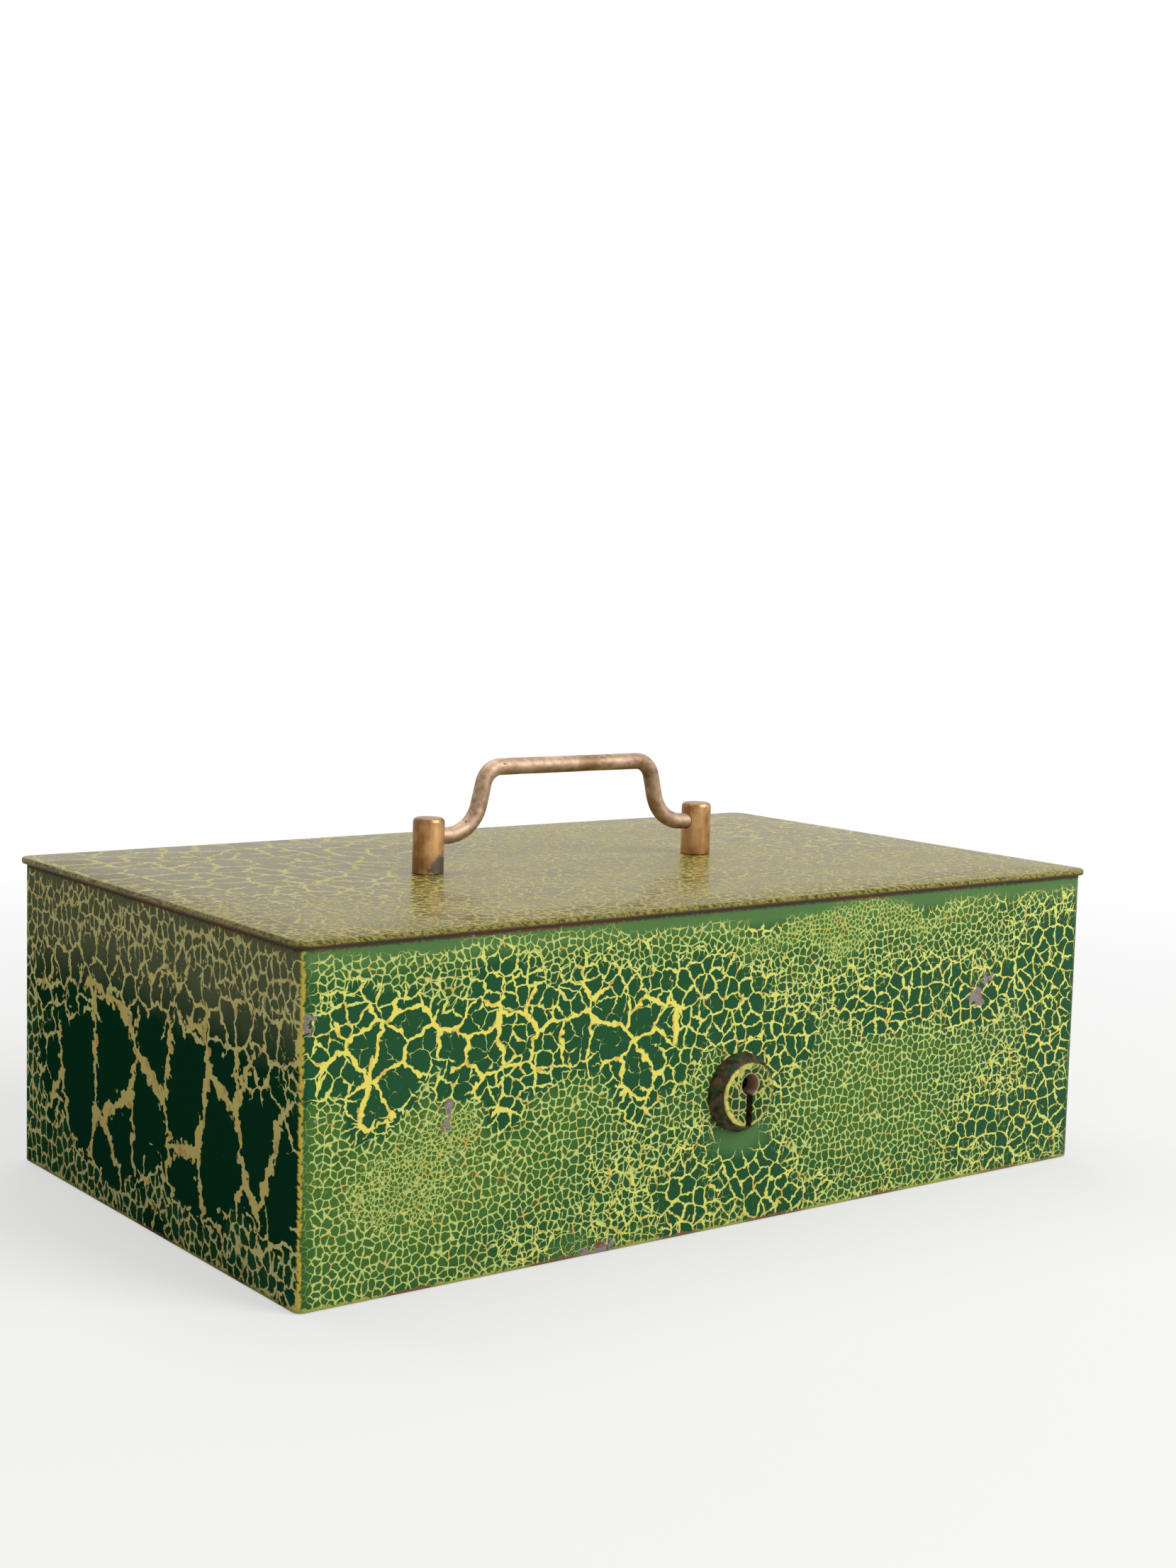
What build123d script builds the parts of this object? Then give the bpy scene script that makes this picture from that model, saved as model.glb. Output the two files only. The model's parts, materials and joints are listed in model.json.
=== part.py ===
from build123d import *
import os
from math import acos, atan2, cos, degrees, hypot, radians, sin

# Steel strongbox with a flat hinged lid, a bail handle and a three-lever lock.
# Millimetres, +Z up. The origin is the middle of the base, on the surface it stands on.
# The front, with the keyhole, faces -Y, and +X is to the right of someone facing it.
# The lid is closed, the bail stands up and the bolt is drawn back, so the lid is free.

# Body
BODY_W = 300.0
BODY_D = 178.0
BODY_H = 97.0  # up to the underside of the closed lid
WALL = 1.5
BASE_T = 1.5
CORNER_R = 3.0  # folds at the upright corners
FOOT_R = 0.8  # rounding of the lower edge
RIM_GAP = 0.3  # between the top edge of the walls and the closed lid

# Lid
LID_T = 2.0
LID_OVERHANG = 1.6
LID_CORNER_R = 4.5
LID_EDGE_R = 0.6
LID_SWING = 105.0  # degrees, to the stop
STRIP_DEPTH = 8.0  # stiffening strips welded under the lid
STRIP_T = 1.5
STRIP_CLEAR = 1.2  # between the strips and the inside of the walls

# Handle
POST_X = 54.3  # each post, from the middle of the lid
POST_R = 5.0
POST_H = 17.5
POST_CHAMFER = 0.8
SPIGOT_R = 3.0
WASHER_R = 8.0
WASHER_T = 1.5
PEEN_R = 4.5
PEEN_H = 1.2
PEEN_EDGE_R = 0.8
SEAT_CLEAR = 0.05  # radial, between pieces fixed in one another
PIVOT_H = 11.4  # bail's axis above the lid
BAIL_R = 2.75
BAIL_CLEAR = 0.05  # radial, in the posts
SOCKET_PAST = 2.0  # the blind hole ends this far past the post's axis
SOCKET_END_GAP = 0.3
BAIL_STUB = 16.5  # from the post's axis to the lower bend's corner
BAIL_SLANT = 5.0  # each leg leans in by this much
BAIL_RISE = 21.1
BAIL_LOWER_BEND_R = 12.0
BAIL_UPPER_BEND_R = 6.7
BAIL_END_CHAMFER = 0.4

# Hinges
HINGE_X = 95.0
LEAF_HALF_W = 22.0
LEAF_T = 1.5
LEAF_DROP = 22.0  # body leaf, below the hinge axis
LEAF_REACH = 22.0  # lid leaf, ahead of the hinge axis
KNUCKLE_R = 3.5
MIDDLE_HALF_W = 7.6  # the lid's knuckle
KNUCKLE_GAP = 0.3
KNUCKLE_ROOM = 0.5  # around the lid's knuckle and tongue, in what they pass
HINGE_PIN_R = 1.5
HINGE_RUN_CLEAR = 0.05
PIN_HEAD_R = 2.4
PIN_HEAD_T = 1.0
TOE_PROUD = 1.5  # stop toe, out of the lid's knuckle
TOE_T = 1.6
TOE_CLEAR = 0.3  # from the body leaf with the lid at the end of its swing
RIVET_COUNT = 3  # in each leaf
RIVET_SPACING = 15.0
RIVET_DROP = 15.0  # below the hinge axis
RIVET_R = 2.0
RIVET_HEAD_R = 3.4
RIVET_HEAD_H = 1.8
RIVET_HEAD_EDGE_R = 1.3
RIVET_TAIL_R = 3.2
RIVET_TAIL_H = 1.0

# Keyhole and its collar
KEY_DROP = 52.8  # key's axis, below the underside of the lid
KEY_ROUND_R = 3.2
KEY_SLOT_W = 2.4
KEY_SLOT_DROP = 12.9
COLLAR_DROP = 3.2  # collar's middle, below the key's axis
COLLAR_R = 12.0
COLLAR_RIM_H = 1.5
COLLAR_FACE_R = 9.6
COLLAR_H = 5.0
COLLAR_EDGE_R = 0.6

# Lock
BIT_CLEAR = 0.5  # between the key's bit and the slot's lower end
LOCK_PLATE_T = 1.5
LOCK_EDGE_R = 3.0
CASE_T = 1.2
CASE_SIDE_CLEAR = 1.0
CASE_FLOOR_CLEAR = 1.4
KEY_TIP_R = 1.9  # guide hole for the tip of the key
THROW = 9.0
LAYER_GAP = 0.3  # between the levers, bolt, plate and case
BOLT_T = 2.5
BOLT_FLOOR = 8.0  # lower edge of the bolt, above the key's axis
BOLT_BAR_H = 12.3
BOLT_END = 4.8  # metal between the left slot and the end of the bar
BOLT_HOOK_END = 9.6  # the same at the right slot, under the right hook
TALON_ROOM = 1.6  # the notch is wider than the throw by this much
TALON_CLEAR = 0.7  # above the key's bit
GUIDE_R = 2.0
GUIDE_CLEAR = 0.2
GUIDE_RISE = 15.0  # both guide posts, above the key's axis
PIVOT_X = -28.0
GUIDE_X = 20.0
HOOK_W = 8.0
HOOK_REACH = 9.0
HOOK_H = 5.0
HOOK_DROP = 16.0  # underside of the hooks, below the lid
HOOK_EDGE_R = 1.0
STUMP = 2.0  # square
STUMP_X = -2.0
STUMP_RISE = 17.5
STUMP_END_GAP = 0.3
TOP_SLOT_CLEAR = 0.4

# Levers
LEVER_SWINGS = (5.6, 6.2, 6.8)  # degrees for the full throw, front lever first
LEVER_T = 1.2
LEVER_HEAD_R = 5.0
LEVER_RISE = 22.5  # top edge, above the key's axis
LEVER_PAST = 6.0  # beyond the stump's far place
LEVER_RUN_CLEAR = 0.05
BELLY_RISE = 3.5
BRIDGE_W = 1.0
WINDOW_CLEAR = 0.3
LEVER_ROOM = 6.1  # above the levers, under the top of the case
SPRING_W = 0.5
SPRING_FOOT_X = (-22.0, -15.0)
SPRING_TIP_X = (3.0, 8.0)
SPRING_TIP_DIP = 1.0
SPRING_BEND_R = 1.5

# Lock fastenings
EAR_W = 11.0  # lock plate, beyond the case
STUD_R = 2.0
STUD_L = 7.0
STUD_CLEAR = 0.2
STUD_INSET = 6.0
NUT_AF = 7.0
NUT_T = 3.2
SCREW_R = 1.25
SCREW_L = 4.0
SCREW_HEAD_R = 2.4
SCREW_HEAD_H = 1.6
SCREW_SLOT_W = 0.6
SCREW_SLOT_H = 0.7

# Keepers on the lid
KEEPER_T = 3.0
KEEPER_GAP = 1.0  # from the tips of the drawn hooks
KEEPER_LEG = 2.2
KEEPER_SILL = 2.5
KEEPER_WINDOW_SIDE = 1.05  # each side of the bolt's thickness
KEEPER_WINDOW_UNDER = 0.6
KEEPER_WINDOW_OVER = 0.8
KEEPER_FOOT_L = 9.0
KEEPER_FOOT_T = 1.5

# Places that follow from the sizes
FRONT_Y = -BODY_D / 2
BACK_Y = BODY_D / 2
INNER_FRONT_Y = FRONT_Y + WALL
INNER_BACK_Y = BACK_Y - WALL
LID_TOP = BODY_H + LID_T
HINGE_Y = BACK_Y + KNUCKLE_R
HINGE_Z = BODY_H - KNUCKLE_R
TOE_R = KNUCKLE_R + TOE_PROUD
KEY_Z = BODY_H - KEY_DROP
SLOT_BOTTOM = KEY_Z - KEY_SLOT_DROP
BIT_R = KEY_SLOT_DROP - BIT_CLEAR
PLATE_Y = INNER_FRONT_Y + LOCK_PLATE_T
LEVER_PITCH = LEVER_T + LAYER_GAP
BOLT_Y = PLATE_Y + LAYER_GAP + len(LEVER_SWINGS) * LEVER_PITCH
BOLT_BACK_Y = BOLT_Y + BOLT_T
CASE_INNER_Y = BOLT_BACK_Y + LAYER_GAP
CASE_Y = CASE_INNER_Y + CASE_T
GUIDE_Z = KEY_Z + GUIDE_RISE
GUIDE_SLOT_R = GUIDE_R + GUIDE_CLEAR
BAR_LEFT = PIVOT_X - THROW - GUIDE_SLOT_R - BOLT_END
BAR_RIGHT = GUIDE_X + GUIDE_SLOT_R + BOLT_HOOK_END
BAR_Z = KEY_Z + BOLT_FLOOR
BAR_TOP = BAR_Z + BOLT_BAR_H
HOOK_Z = BODY_H - HOOK_DROP
HOOK_LEFTS = (BAR_LEFT, BAR_RIGHT - HOOK_W)
STUMP_Z = KEY_Z + STUMP_RISE
LEVER_TOP = KEY_Z + LEVER_RISE
LEVER_END = STUMP_X + THROW + LEVER_PAST
CASE_INNER_TOP = LEVER_TOP + LEVER_ROOM
CASE_TOP = CASE_INNER_TOP + CASE_T
CASE_INNER_BOTTOM = SLOT_BOTTOM - CASE_FLOOR_CLEAR
CASE_BOTTOM = CASE_INNER_BOTTOM - CASE_T
CASE_INNER_HALF_W = max(-BAR_LEFT, BAR_RIGHT + THROW) + CASE_SIDE_CLEAR
CASE_HALF_W = CASE_INNER_HALF_W + CASE_T
STUD_PLACES = [
    (side * (CASE_HALF_W + EAR_W / 2), z)
    for side in (-1, 1)
    for z in (CASE_BOTTOM + STUD_INSET, CASE_TOP - STUD_INSET)
]
GUIDE_PLACES = [(PIVOT_X, GUIDE_Z), (GUIDE_X, GUIDE_Z)]
BAIL_Z = LID_TOP + PIVOT_H
LOW = (Align.CENTER, Align.CENTER, Align.MIN)
TOWARDS_BACK = (-90, 0, 0)
TOWARDS_FRONT = (90, 0, 0)
TOWARDS_RIGHT = (0, 90, 0)

os.makedirs("parts", exist_ok=True)


def write_piece(piece, name):
    """Label one finished piece and write it."""
    piece.part.label = name
    export_step(piece.part, f"parts/{name}.step")


def facing_front(y):
    """Plane across the box at this depth: X to the right, Z up, extruding to the front."""
    return Plane.XZ.offset(-y)


def block(low, high, mode=Mode.ADD):
    """Rectangular block between two opposite corners."""
    with Locations(tuple((a + b) / 2 for a, b in zip(low, high))):
        Box(*[b - a for a, b in zip(low, high)], mode=mode)


def panel(left, right, low, high, mode=Mode.ADD):
    """Rectangle in a sketch, given by its sides."""
    with Locations(((left + right) / 2, (low + high) / 2)):
        Rectangle(right - left, high - low, mode=mode)


def keyhole_outline():
    """Round part on the key's axis, with the slot for the bit below it."""
    with Locations((0, KEY_Z)):
        Circle(KEY_ROUND_R)
    panel(-KEY_SLOT_W / 2, KEY_SLOT_W / 2, SLOT_BOTTOM, KEY_Z)


# Walls, one strip folded at the four corners
with BuildPart() as body_wrap:
    with BuildSketch():
        RectangleRounded(BODY_W, BODY_D, CORNER_R)
        RectangleRounded(
            BODY_W - 2 * WALL, BODY_D - 2 * WALL, CORNER_R - WALL, mode=Mode.SUBTRACT
        )
    extrude(amount=BODY_H - RIM_GAP)
    fillet(body_wrap.faces().sort_by(Axis.Z)[0].outer_wire().edges(), FOOT_R)
    with BuildSketch(facing_front(INNER_FRONT_Y)):
        keyhole_outline()
    extrude(amount=WALL, mode=Mode.SUBTRACT)
    for hinge_x in (-HINGE_X, HINGE_X):
        block(
            (hinge_x - MIDDLE_HALF_W - KNUCKLE_ROOM, INNER_BACK_Y, BODY_H - LEAF_T - KNUCKLE_ROOM),
            (hinge_x + MIDDLE_HALF_W + KNUCKLE_ROOM, BACK_Y, BODY_H),
            mode=Mode.SUBTRACT,
        )
        with Locations(Location((hinge_x, INNER_BACK_Y, HINGE_Z - RIVET_DROP), TOWARDS_BACK)):
            with GridLocations(RIVET_SPACING, 0, RIVET_COUNT, 1):
                Cylinder(RIVET_R, WALL, align=LOW, mode=Mode.SUBTRACT)
write_piece(body_wrap, "body_wrap")

# Floor, let in between the walls
with BuildPart() as base_plate:
    with BuildSketch():
        RectangleRounded(BODY_W - 2 * WALL, BODY_D - 2 * WALL, CORNER_R - WALL)
    extrude(amount=BASE_T)
write_piece(base_plate, "base_plate")

# Flat lid plate
with BuildPart() as lid_plate:
    with BuildSketch(Plane.XY.offset(BODY_H)):
        RectangleRounded(BODY_W + 2 * LID_OVERHANG, BODY_D + 2 * LID_OVERHANG, LID_CORNER_R)
    extrude(amount=LID_T)
    fillet(lid_plate.faces().filter_by(Axis.Z).edges(), LID_EDGE_R)
    with Locations((-POST_X, 0, BODY_H), (POST_X, 0, BODY_H)):
        Cylinder(SPIGOT_R, LID_T, align=LOW, mode=Mode.SUBTRACT)
write_piece(lid_plate, "lid_plate")

# Stiffening strips under the lid, just inside the walls
STRIP_X = BODY_W / 2 - WALL - STRIP_CLEAR
STRIP_Y = BODY_D / 2 - WALL - STRIP_CLEAR
STRIP_Z = BODY_H - STRIP_DEPTH
with BuildPart() as lid_strip_front:
    block((-STRIP_X, -STRIP_Y, STRIP_Z), (STRIP_X, -STRIP_Y + STRIP_T, BODY_H))
write_piece(lid_strip_front, "lid_strip_front")

with BuildPart() as lid_strip_back:
    block((-STRIP_X, STRIP_Y - STRIP_T, STRIP_Z), (STRIP_X, STRIP_Y, BODY_H))
    for hinge_x in (-HINGE_X, HINGE_X):
        block(
            (hinge_x - LEAF_HALF_W - SEAT_CLEAR, STRIP_Y - STRIP_T, BODY_H - LEAF_T - SEAT_CLEAR),
            (hinge_x + LEAF_HALF_W + SEAT_CLEAR, STRIP_Y, BODY_H),
            mode=Mode.SUBTRACT,
        )
write_piece(lid_strip_back, "lid_strip_back")

for side, strip_name in ((-1, "lid_strip_left"), (1, "lid_strip_right")):
    outer_x, inner_x = side * STRIP_X, side * (STRIP_X - STRIP_T)
    with BuildPart() as lid_strip_side:
        block(
            (min(outer_x, inner_x), -STRIP_Y + STRIP_T, STRIP_Z),
            (max(outer_x, inner_x), STRIP_Y - STRIP_T, BODY_H),
        )
    write_piece(lid_strip_side, strip_name)

# Handle posts, each with a spigot through the lid, peened over a washer
for side, side_name in ((-1, "left"), (1, "right")):
    with BuildPart() as handle_post:
        with Locations((side * POST_X, 0, LID_TOP)):
            Cylinder(POST_R, POST_H, align=LOW)
        chamfer(handle_post.edges().sort_by(Axis.Z)[-1], POST_CHAMFER)
        with Locations((side * POST_X, 0, BODY_H - WASHER_T - PEEN_H)):
            Cylinder(PEEN_R, PEEN_H, align=LOW)
        fillet(handle_post.edges().sort_by(Axis.Z)[0], PEEN_EDGE_R)
        with Locations((side * POST_X, 0, BODY_H - WASHER_T)):
            Cylinder(SPIGOT_R - SEAT_CLEAR, WASHER_T + LID_T, align=LOW)
        socket_length = POST_R + SOCKET_PAST
        socket_middle = side * (POST_X + (SOCKET_PAST - POST_R) / 2)
        with Locations(Location((socket_middle, 0, BAIL_Z), TOWARDS_RIGHT)):
            Cylinder(BAIL_R + BAIL_CLEAR, socket_length, mode=Mode.SUBTRACT)
    write_piece(handle_post, f"handle_post_{side_name}")

    with BuildPart() as handle_washer:
        with Locations((side * POST_X, 0, BODY_H - WASHER_T)):
            Cylinder(WASHER_R, WASHER_T, align=LOW)
            Cylinder(SPIGOT_R, WASHER_T, align=LOW, mode=Mode.SUBTRACT)
    write_piece(handle_washer, f"handle_washer_{side_name}")

# Bail, one bent rod whose ends turn in the posts
bail_end = POST_X + SOCKET_PAST - SOCKET_END_GAP
bail_low = POST_X - BAIL_STUB
bail_high = bail_low - BAIL_SLANT
with BuildPart() as handle_bail:
    with BuildLine(Plane.XZ) as bail_line:
        FilletPolyline(
            (-bail_end, BAIL_Z),
            (-bail_low, BAIL_Z),
            (-bail_high, BAIL_Z + BAIL_RISE),
            (bail_high, BAIL_Z + BAIL_RISE),
            (bail_low, BAIL_Z),
            (bail_end, BAIL_Z),
            radius=[BAIL_LOWER_BEND_R, BAIL_UPPER_BEND_R, BAIL_UPPER_BEND_R, BAIL_LOWER_BEND_R],
        )
    with BuildSketch(Plane(origin=(-bail_end, 0, BAIL_Z), x_dir=(0, 1, 0), z_dir=(1, 0, 0))):
        Circle(BAIL_R)
    sweep(path=bail_line.line)
    bail_ends = handle_bail.faces().filter_by(Axis.X).sort_by(Axis.X)
    chamfer([bail_ends[0].edges()[0], bail_ends[-1].edges()[0]], BAIL_END_CHAMFER)
write_piece(handle_bail, "handle_bail")

# Hinges: the stop toe meets the body leaf just past the end of the lid's swing
toe_corner_r = hypot(TOE_R, TOE_T / 2)
toe_corner_lead = degrees(atan2(TOE_T / 2, TOE_R))
toe_meets = degrees(acos((KNUCKLE_R - LEAF_T - TOE_CLEAR) / toe_corner_r))
toe_angle = LID_SWING + toe_corner_lead + toe_meets - 180
for side, side_name in ((-1, "left"), (1, "right")):
    hinge_x = side * HINGE_X
    axis_place = Location((hinge_x, HINGE_Y, HINGE_Z), TOWARDS_RIGHT)

    with BuildPart() as hinge_leaf_body:
        block(
            (hinge_x - LEAF_HALF_W, BACK_Y, HINGE_Z - LEAF_DROP),
            (hinge_x + LEAF_HALF_W, BACK_Y + LEAF_T, HINGE_Z),
        )
        with Locations(axis_place):
            Cylinder(KNUCKLE_R, 2 * LEAF_HALF_W)
        middle_room = MIDDLE_HALF_W + KNUCKLE_GAP
        block(
            (hinge_x - middle_room, BACK_Y, HINGE_Z - KNUCKLE_R - KNUCKLE_ROOM),
            (hinge_x + middle_room, HINGE_Y + KNUCKLE_R, HINGE_Z + KNUCKLE_R),
            mode=Mode.SUBTRACT,
        )
        with Locations(axis_place):
            Cylinder(HINGE_PIN_R + HINGE_RUN_CLEAR, 2 * LEAF_HALF_W, mode=Mode.SUBTRACT)
        with Locations(Location((hinge_x, BACK_Y, HINGE_Z - RIVET_DROP), TOWARDS_BACK)):
            with GridLocations(RIVET_SPACING, 0, RIVET_COUNT, 1):
                Cylinder(RIVET_R, LEAF_T, align=LOW, mode=Mode.SUBTRACT)
    write_piece(hinge_leaf_body, f"hinge_leaf_body_{side_name}")

    with BuildPart() as hinge_leaf_lid:
        block(
            (hinge_x - LEAF_HALF_W, HINGE_Y - LEAF_REACH, BODY_H - LEAF_T),
            (hinge_x + LEAF_HALF_W, INNER_BACK_Y - KNUCKLE_ROOM, BODY_H),
        )
        block(
            (hinge_x - MIDDLE_HALF_W, INNER_BACK_Y - KNUCKLE_ROOM, BODY_H - LEAF_T),
            (hinge_x + MIDDLE_HALF_W, HINGE_Y, BODY_H),
        )
        with Locations(axis_place):
            Cylinder(KNUCKLE_R, 2 * MIDDLE_HALF_W)
        with Locations(Location((hinge_x, HINGE_Y, HINGE_Z), (toe_angle, 0, 0))):
            with Locations((0, TOE_R - KNUCKLE_R / 2, 0)):
                Box(2 * MIDDLE_HALF_W, KNUCKLE_R, TOE_T)
        with Locations(axis_place):
            Cylinder(HINGE_PIN_R + HINGE_RUN_CLEAR, 2 * MIDDLE_HALF_W, mode=Mode.SUBTRACT)
    write_piece(hinge_leaf_lid, f"hinge_leaf_lid_{side_name}")

    with BuildPart() as hinge_pin:
        with Locations(axis_place):
            Cylinder(HINGE_PIN_R, 2 * LEAF_HALF_W)
            with Locations((0, 0, LEAF_HALF_W + PIN_HEAD_T / 2), (0, 0, -LEAF_HALF_W - PIN_HEAD_T / 2)):
                Cylinder(PIN_HEAD_R, PIN_HEAD_T)
    write_piece(hinge_pin, f"hinge_pin_{side_name}")

# Rivets of the body leaves, with a round head outside and a flat tail inside
with BuildPart() as hinge_rivets:
    for hinge_x in (-HINGE_X, HINGE_X):
        with Locations(Location((hinge_x, BACK_Y + LEAF_T, HINGE_Z - RIVET_DROP), TOWARDS_BACK)):
            with GridLocations(RIVET_SPACING, 0, RIVET_COUNT, 1):
                Cylinder(RIVET_HEAD_R, RIVET_HEAD_H, align=LOW)
    fillet(hinge_rivets.edges().group_by(Axis.Y)[-1], RIVET_HEAD_EDGE_R)
    for hinge_x in (-HINGE_X, HINGE_X):
        with Locations(Location((hinge_x, INNER_BACK_Y, HINGE_Z - RIVET_DROP), TOWARDS_BACK)):
            with GridLocations(RIVET_SPACING, 0, RIVET_COUNT, 1):
                Cylinder(RIVET_R - SEAT_CLEAR, WALL + LEAF_T, align=LOW)
        with Locations(
            Location((hinge_x, INNER_BACK_Y - RIVET_TAIL_H, HINGE_Z - RIVET_DROP), TOWARDS_BACK)
        ):
            with GridLocations(RIVET_SPACING, 0, RIVET_COUNT, 1):
                Cylinder(RIVET_TAIL_R, RIVET_TAIL_H, align=LOW)
write_piece(hinge_rivets, "hinge_rivets")

# Turned collar round the keyhole, brazed to the front wall
with BuildPart() as lock_collar:
    with Locations(Location((0, FRONT_Y, KEY_Z - COLLAR_DROP), TOWARDS_FRONT)):
        Cylinder(COLLAR_R, COLLAR_RIM_H, align=LOW)
    with Locations(Location((0, FRONT_Y - COLLAR_RIM_H, KEY_Z - COLLAR_DROP), TOWARDS_FRONT)):
        Cone(COLLAR_R, COLLAR_FACE_R, COLLAR_H - COLLAR_RIM_H, align=LOW)
    fillet(lock_collar.edges().sort_by(Axis.Y)[0], COLLAR_EDGE_R)
    with BuildSketch(facing_front(FRONT_Y)):
        keyhole_outline()
    extrude(amount=COLLAR_H, mode=Mode.SUBTRACT)
write_piece(lock_collar, "lock_collar")

# Lock plate, held to the front wall by four welded studs
with BuildPart() as lock_plate:
    with BuildSketch(facing_front(PLATE_Y)):
        with Locations((0, (CASE_BOTTOM + CASE_TOP) / 2)):
            RectangleRounded(2 * (CASE_HALF_W + EAR_W), CASE_TOP - CASE_BOTTOM, LOCK_EDGE_R)
        with Locations(*STUD_PLACES):
            Circle(STUD_R + STUD_CLEAR, mode=Mode.SUBTRACT)
        with Locations(*GUIDE_PLACES):
            Circle(GUIDE_R, mode=Mode.SUBTRACT)
    extrude(amount=LOCK_PLATE_T)
    with BuildSketch(facing_front(PLATE_Y)):
        keyhole_outline()
    extrude(amount=LOCK_PLATE_T, mode=Mode.SUBTRACT)
write_piece(lock_plate, "lock_plate")

with BuildPart() as lock_studs:
    with BuildSketch(facing_front(INNER_FRONT_Y + STUD_L)):
        with Locations(*STUD_PLACES):
            Circle(STUD_R)
    extrude(amount=STUD_L)
write_piece(lock_studs, "lock_studs")

with BuildPart() as lock_nuts:
    with BuildSketch(facing_front(PLATE_Y + NUT_T)):
        with Locations(*STUD_PLACES):
            RegularPolygon(NUT_AF / 2, 6, major_radius=False)
            Circle(STUD_R + SEAT_CLEAR, mode=Mode.SUBTRACT)
    extrude(amount=NUT_T)
write_piece(lock_nuts, "lock_nuts")

# Lock case, a shallow box open to the plate, with slots in its top for the hooks
with BuildPart() as lock_case:
    with BuildSketch(facing_front(CASE_Y)):
        panel(-CASE_HALF_W, CASE_HALF_W, CASE_BOTTOM, CASE_TOP)
    extrude(amount=CASE_Y - PLATE_Y)
    with BuildSketch(facing_front(CASE_INNER_Y)):
        panel(-CASE_INNER_HALF_W, CASE_INNER_HALF_W, CASE_INNER_BOTTOM, CASE_INNER_TOP)
    extrude(amount=CASE_INNER_Y - PLATE_Y, mode=Mode.SUBTRACT)
    for hook_left in HOOK_LEFTS:
        block(
            (hook_left - TOP_SLOT_CLEAR, BOLT_Y - TOP_SLOT_CLEAR, CASE_INNER_TOP),
            (hook_left + HOOK_W + THROW + TOP_SLOT_CLEAR, CASE_INNER_Y, CASE_TOP),
            mode=Mode.SUBTRACT,
        )
    with BuildSketch(facing_front(CASE_Y)):
        with Locations((0, KEY_Z)):
            Circle(KEY_TIP_R)
        with Locations(*GUIDE_PLACES):
            Circle(SCREW_R + SEAT_CLEAR)
    extrude(amount=CASE_T, mode=Mode.SUBTRACT)
write_piece(lock_case, "lock_case")

# Posts in the lock: one carries the levers, both guide the bolt and take the case's screws
for post_x, post_name in ((PIVOT_X, "lever_pivot_post"), (GUIDE_X, "bolt_guide_post")):
    with BuildPart() as lock_post:
        with BuildSketch(facing_front(CASE_INNER_Y)):
            with Locations((post_x, GUIDE_Z)):
                Circle(GUIDE_R)
        extrude(amount=CASE_INNER_Y - INNER_FRONT_Y)
        with BuildSketch(facing_front(CASE_INNER_Y)):
            with Locations((post_x, GUIDE_Z)):
                Circle(SCREW_R + SEAT_CLEAR)
        extrude(amount=SCREW_L, mode=Mode.SUBTRACT)
    write_piece(lock_post, post_name)

with BuildPart() as case_screws:
    with BuildSketch(facing_front(CASE_Y)):
        with Locations(*GUIDE_PLACES):
            Circle(SCREW_R)
    extrude(amount=CASE_T + SCREW_L - SEAT_CLEAR)
    with BuildSketch(facing_front(CASE_Y + SCREW_HEAD_H)):
        with Locations(*GUIDE_PLACES):
            Circle(SCREW_HEAD_R)
    extrude(amount=SCREW_HEAD_H)
    with BuildSketch(facing_front(CASE_Y + SCREW_HEAD_H)):
        with Locations(*GUIDE_PLACES):
            Rectangle(2 * SCREW_HEAD_R, SCREW_SLOT_W)
    extrude(amount=SCREW_SLOT_H, mode=Mode.SUBTRACT)
write_piece(case_screws, "case_screws")

# Bolt: a bar with a notch for the key's bit, and two hooks that reach up to the keepers
with BuildPart() as bolt:
    with BuildSketch(facing_front(BOLT_BACK_Y)):
        panel(BAR_LEFT, BAR_RIGHT, BAR_Z, BAR_TOP)
        for hook_left in HOOK_LEFTS:
            panel(hook_left, hook_left + HOOK_W, BAR_Z, HOOK_Z + HOOK_H)
            panel(hook_left, hook_left + HOOK_W + HOOK_REACH, HOOK_Z, HOOK_Z + HOOK_H)
        talon_half_w = (THROW + TALON_ROOM) / 2
        panel(
            -THROW / 2 - talon_half_w,
            -THROW / 2 + talon_half_w,
            BAR_Z,
            KEY_Z + BIT_R + TALON_CLEAR,
            mode=Mode.SUBTRACT,
        )
        with Locations(*[(x - THROW / 2, z) for x, z in GUIDE_PLACES]):
            SlotOverall(THROW + 2 * GUIDE_SLOT_R, 2 * GUIDE_SLOT_R, mode=Mode.SUBTRACT)
        with Locations((STUMP_X, STUMP_Z)):
            Rectangle(STUMP, STUMP, mode=Mode.SUBTRACT)
    extrude(amount=BOLT_T)
    hook_tips = bolt.edges().filter_by(Axis.Y).group_by(Axis.Z)[-1]
    fillet(hook_tips, HOOK_EDGE_R)
write_piece(bolt, "bolt")

with BuildPart() as bolt_stump:
    with BuildSketch(facing_front(BOLT_BACK_Y)):
        with Locations((STUMP_X, STUMP_Z)):
            Rectangle(STUMP, STUMP)
    extrude(amount=BOLT_BACK_Y - PLATE_Y - STUMP_END_GAP)
write_piece(bolt_stump, "bolt_stump")


def stump_seen_by_lever(travel, swing):
    """Middle of the stump after this travel, from its first place, in the lever's own frame."""
    angle = radians(swing * travel / THROW)
    reach = STUMP_X + travel - PIVOT_X
    rise = STUMP_Z - GUIDE_Z
    x = reach * cos(angle) + rise * sin(angle)
    z = rise * cos(angle) - reach * sin(angle)
    return x - (STUMP_X - PIVOT_X), z - rise


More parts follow.
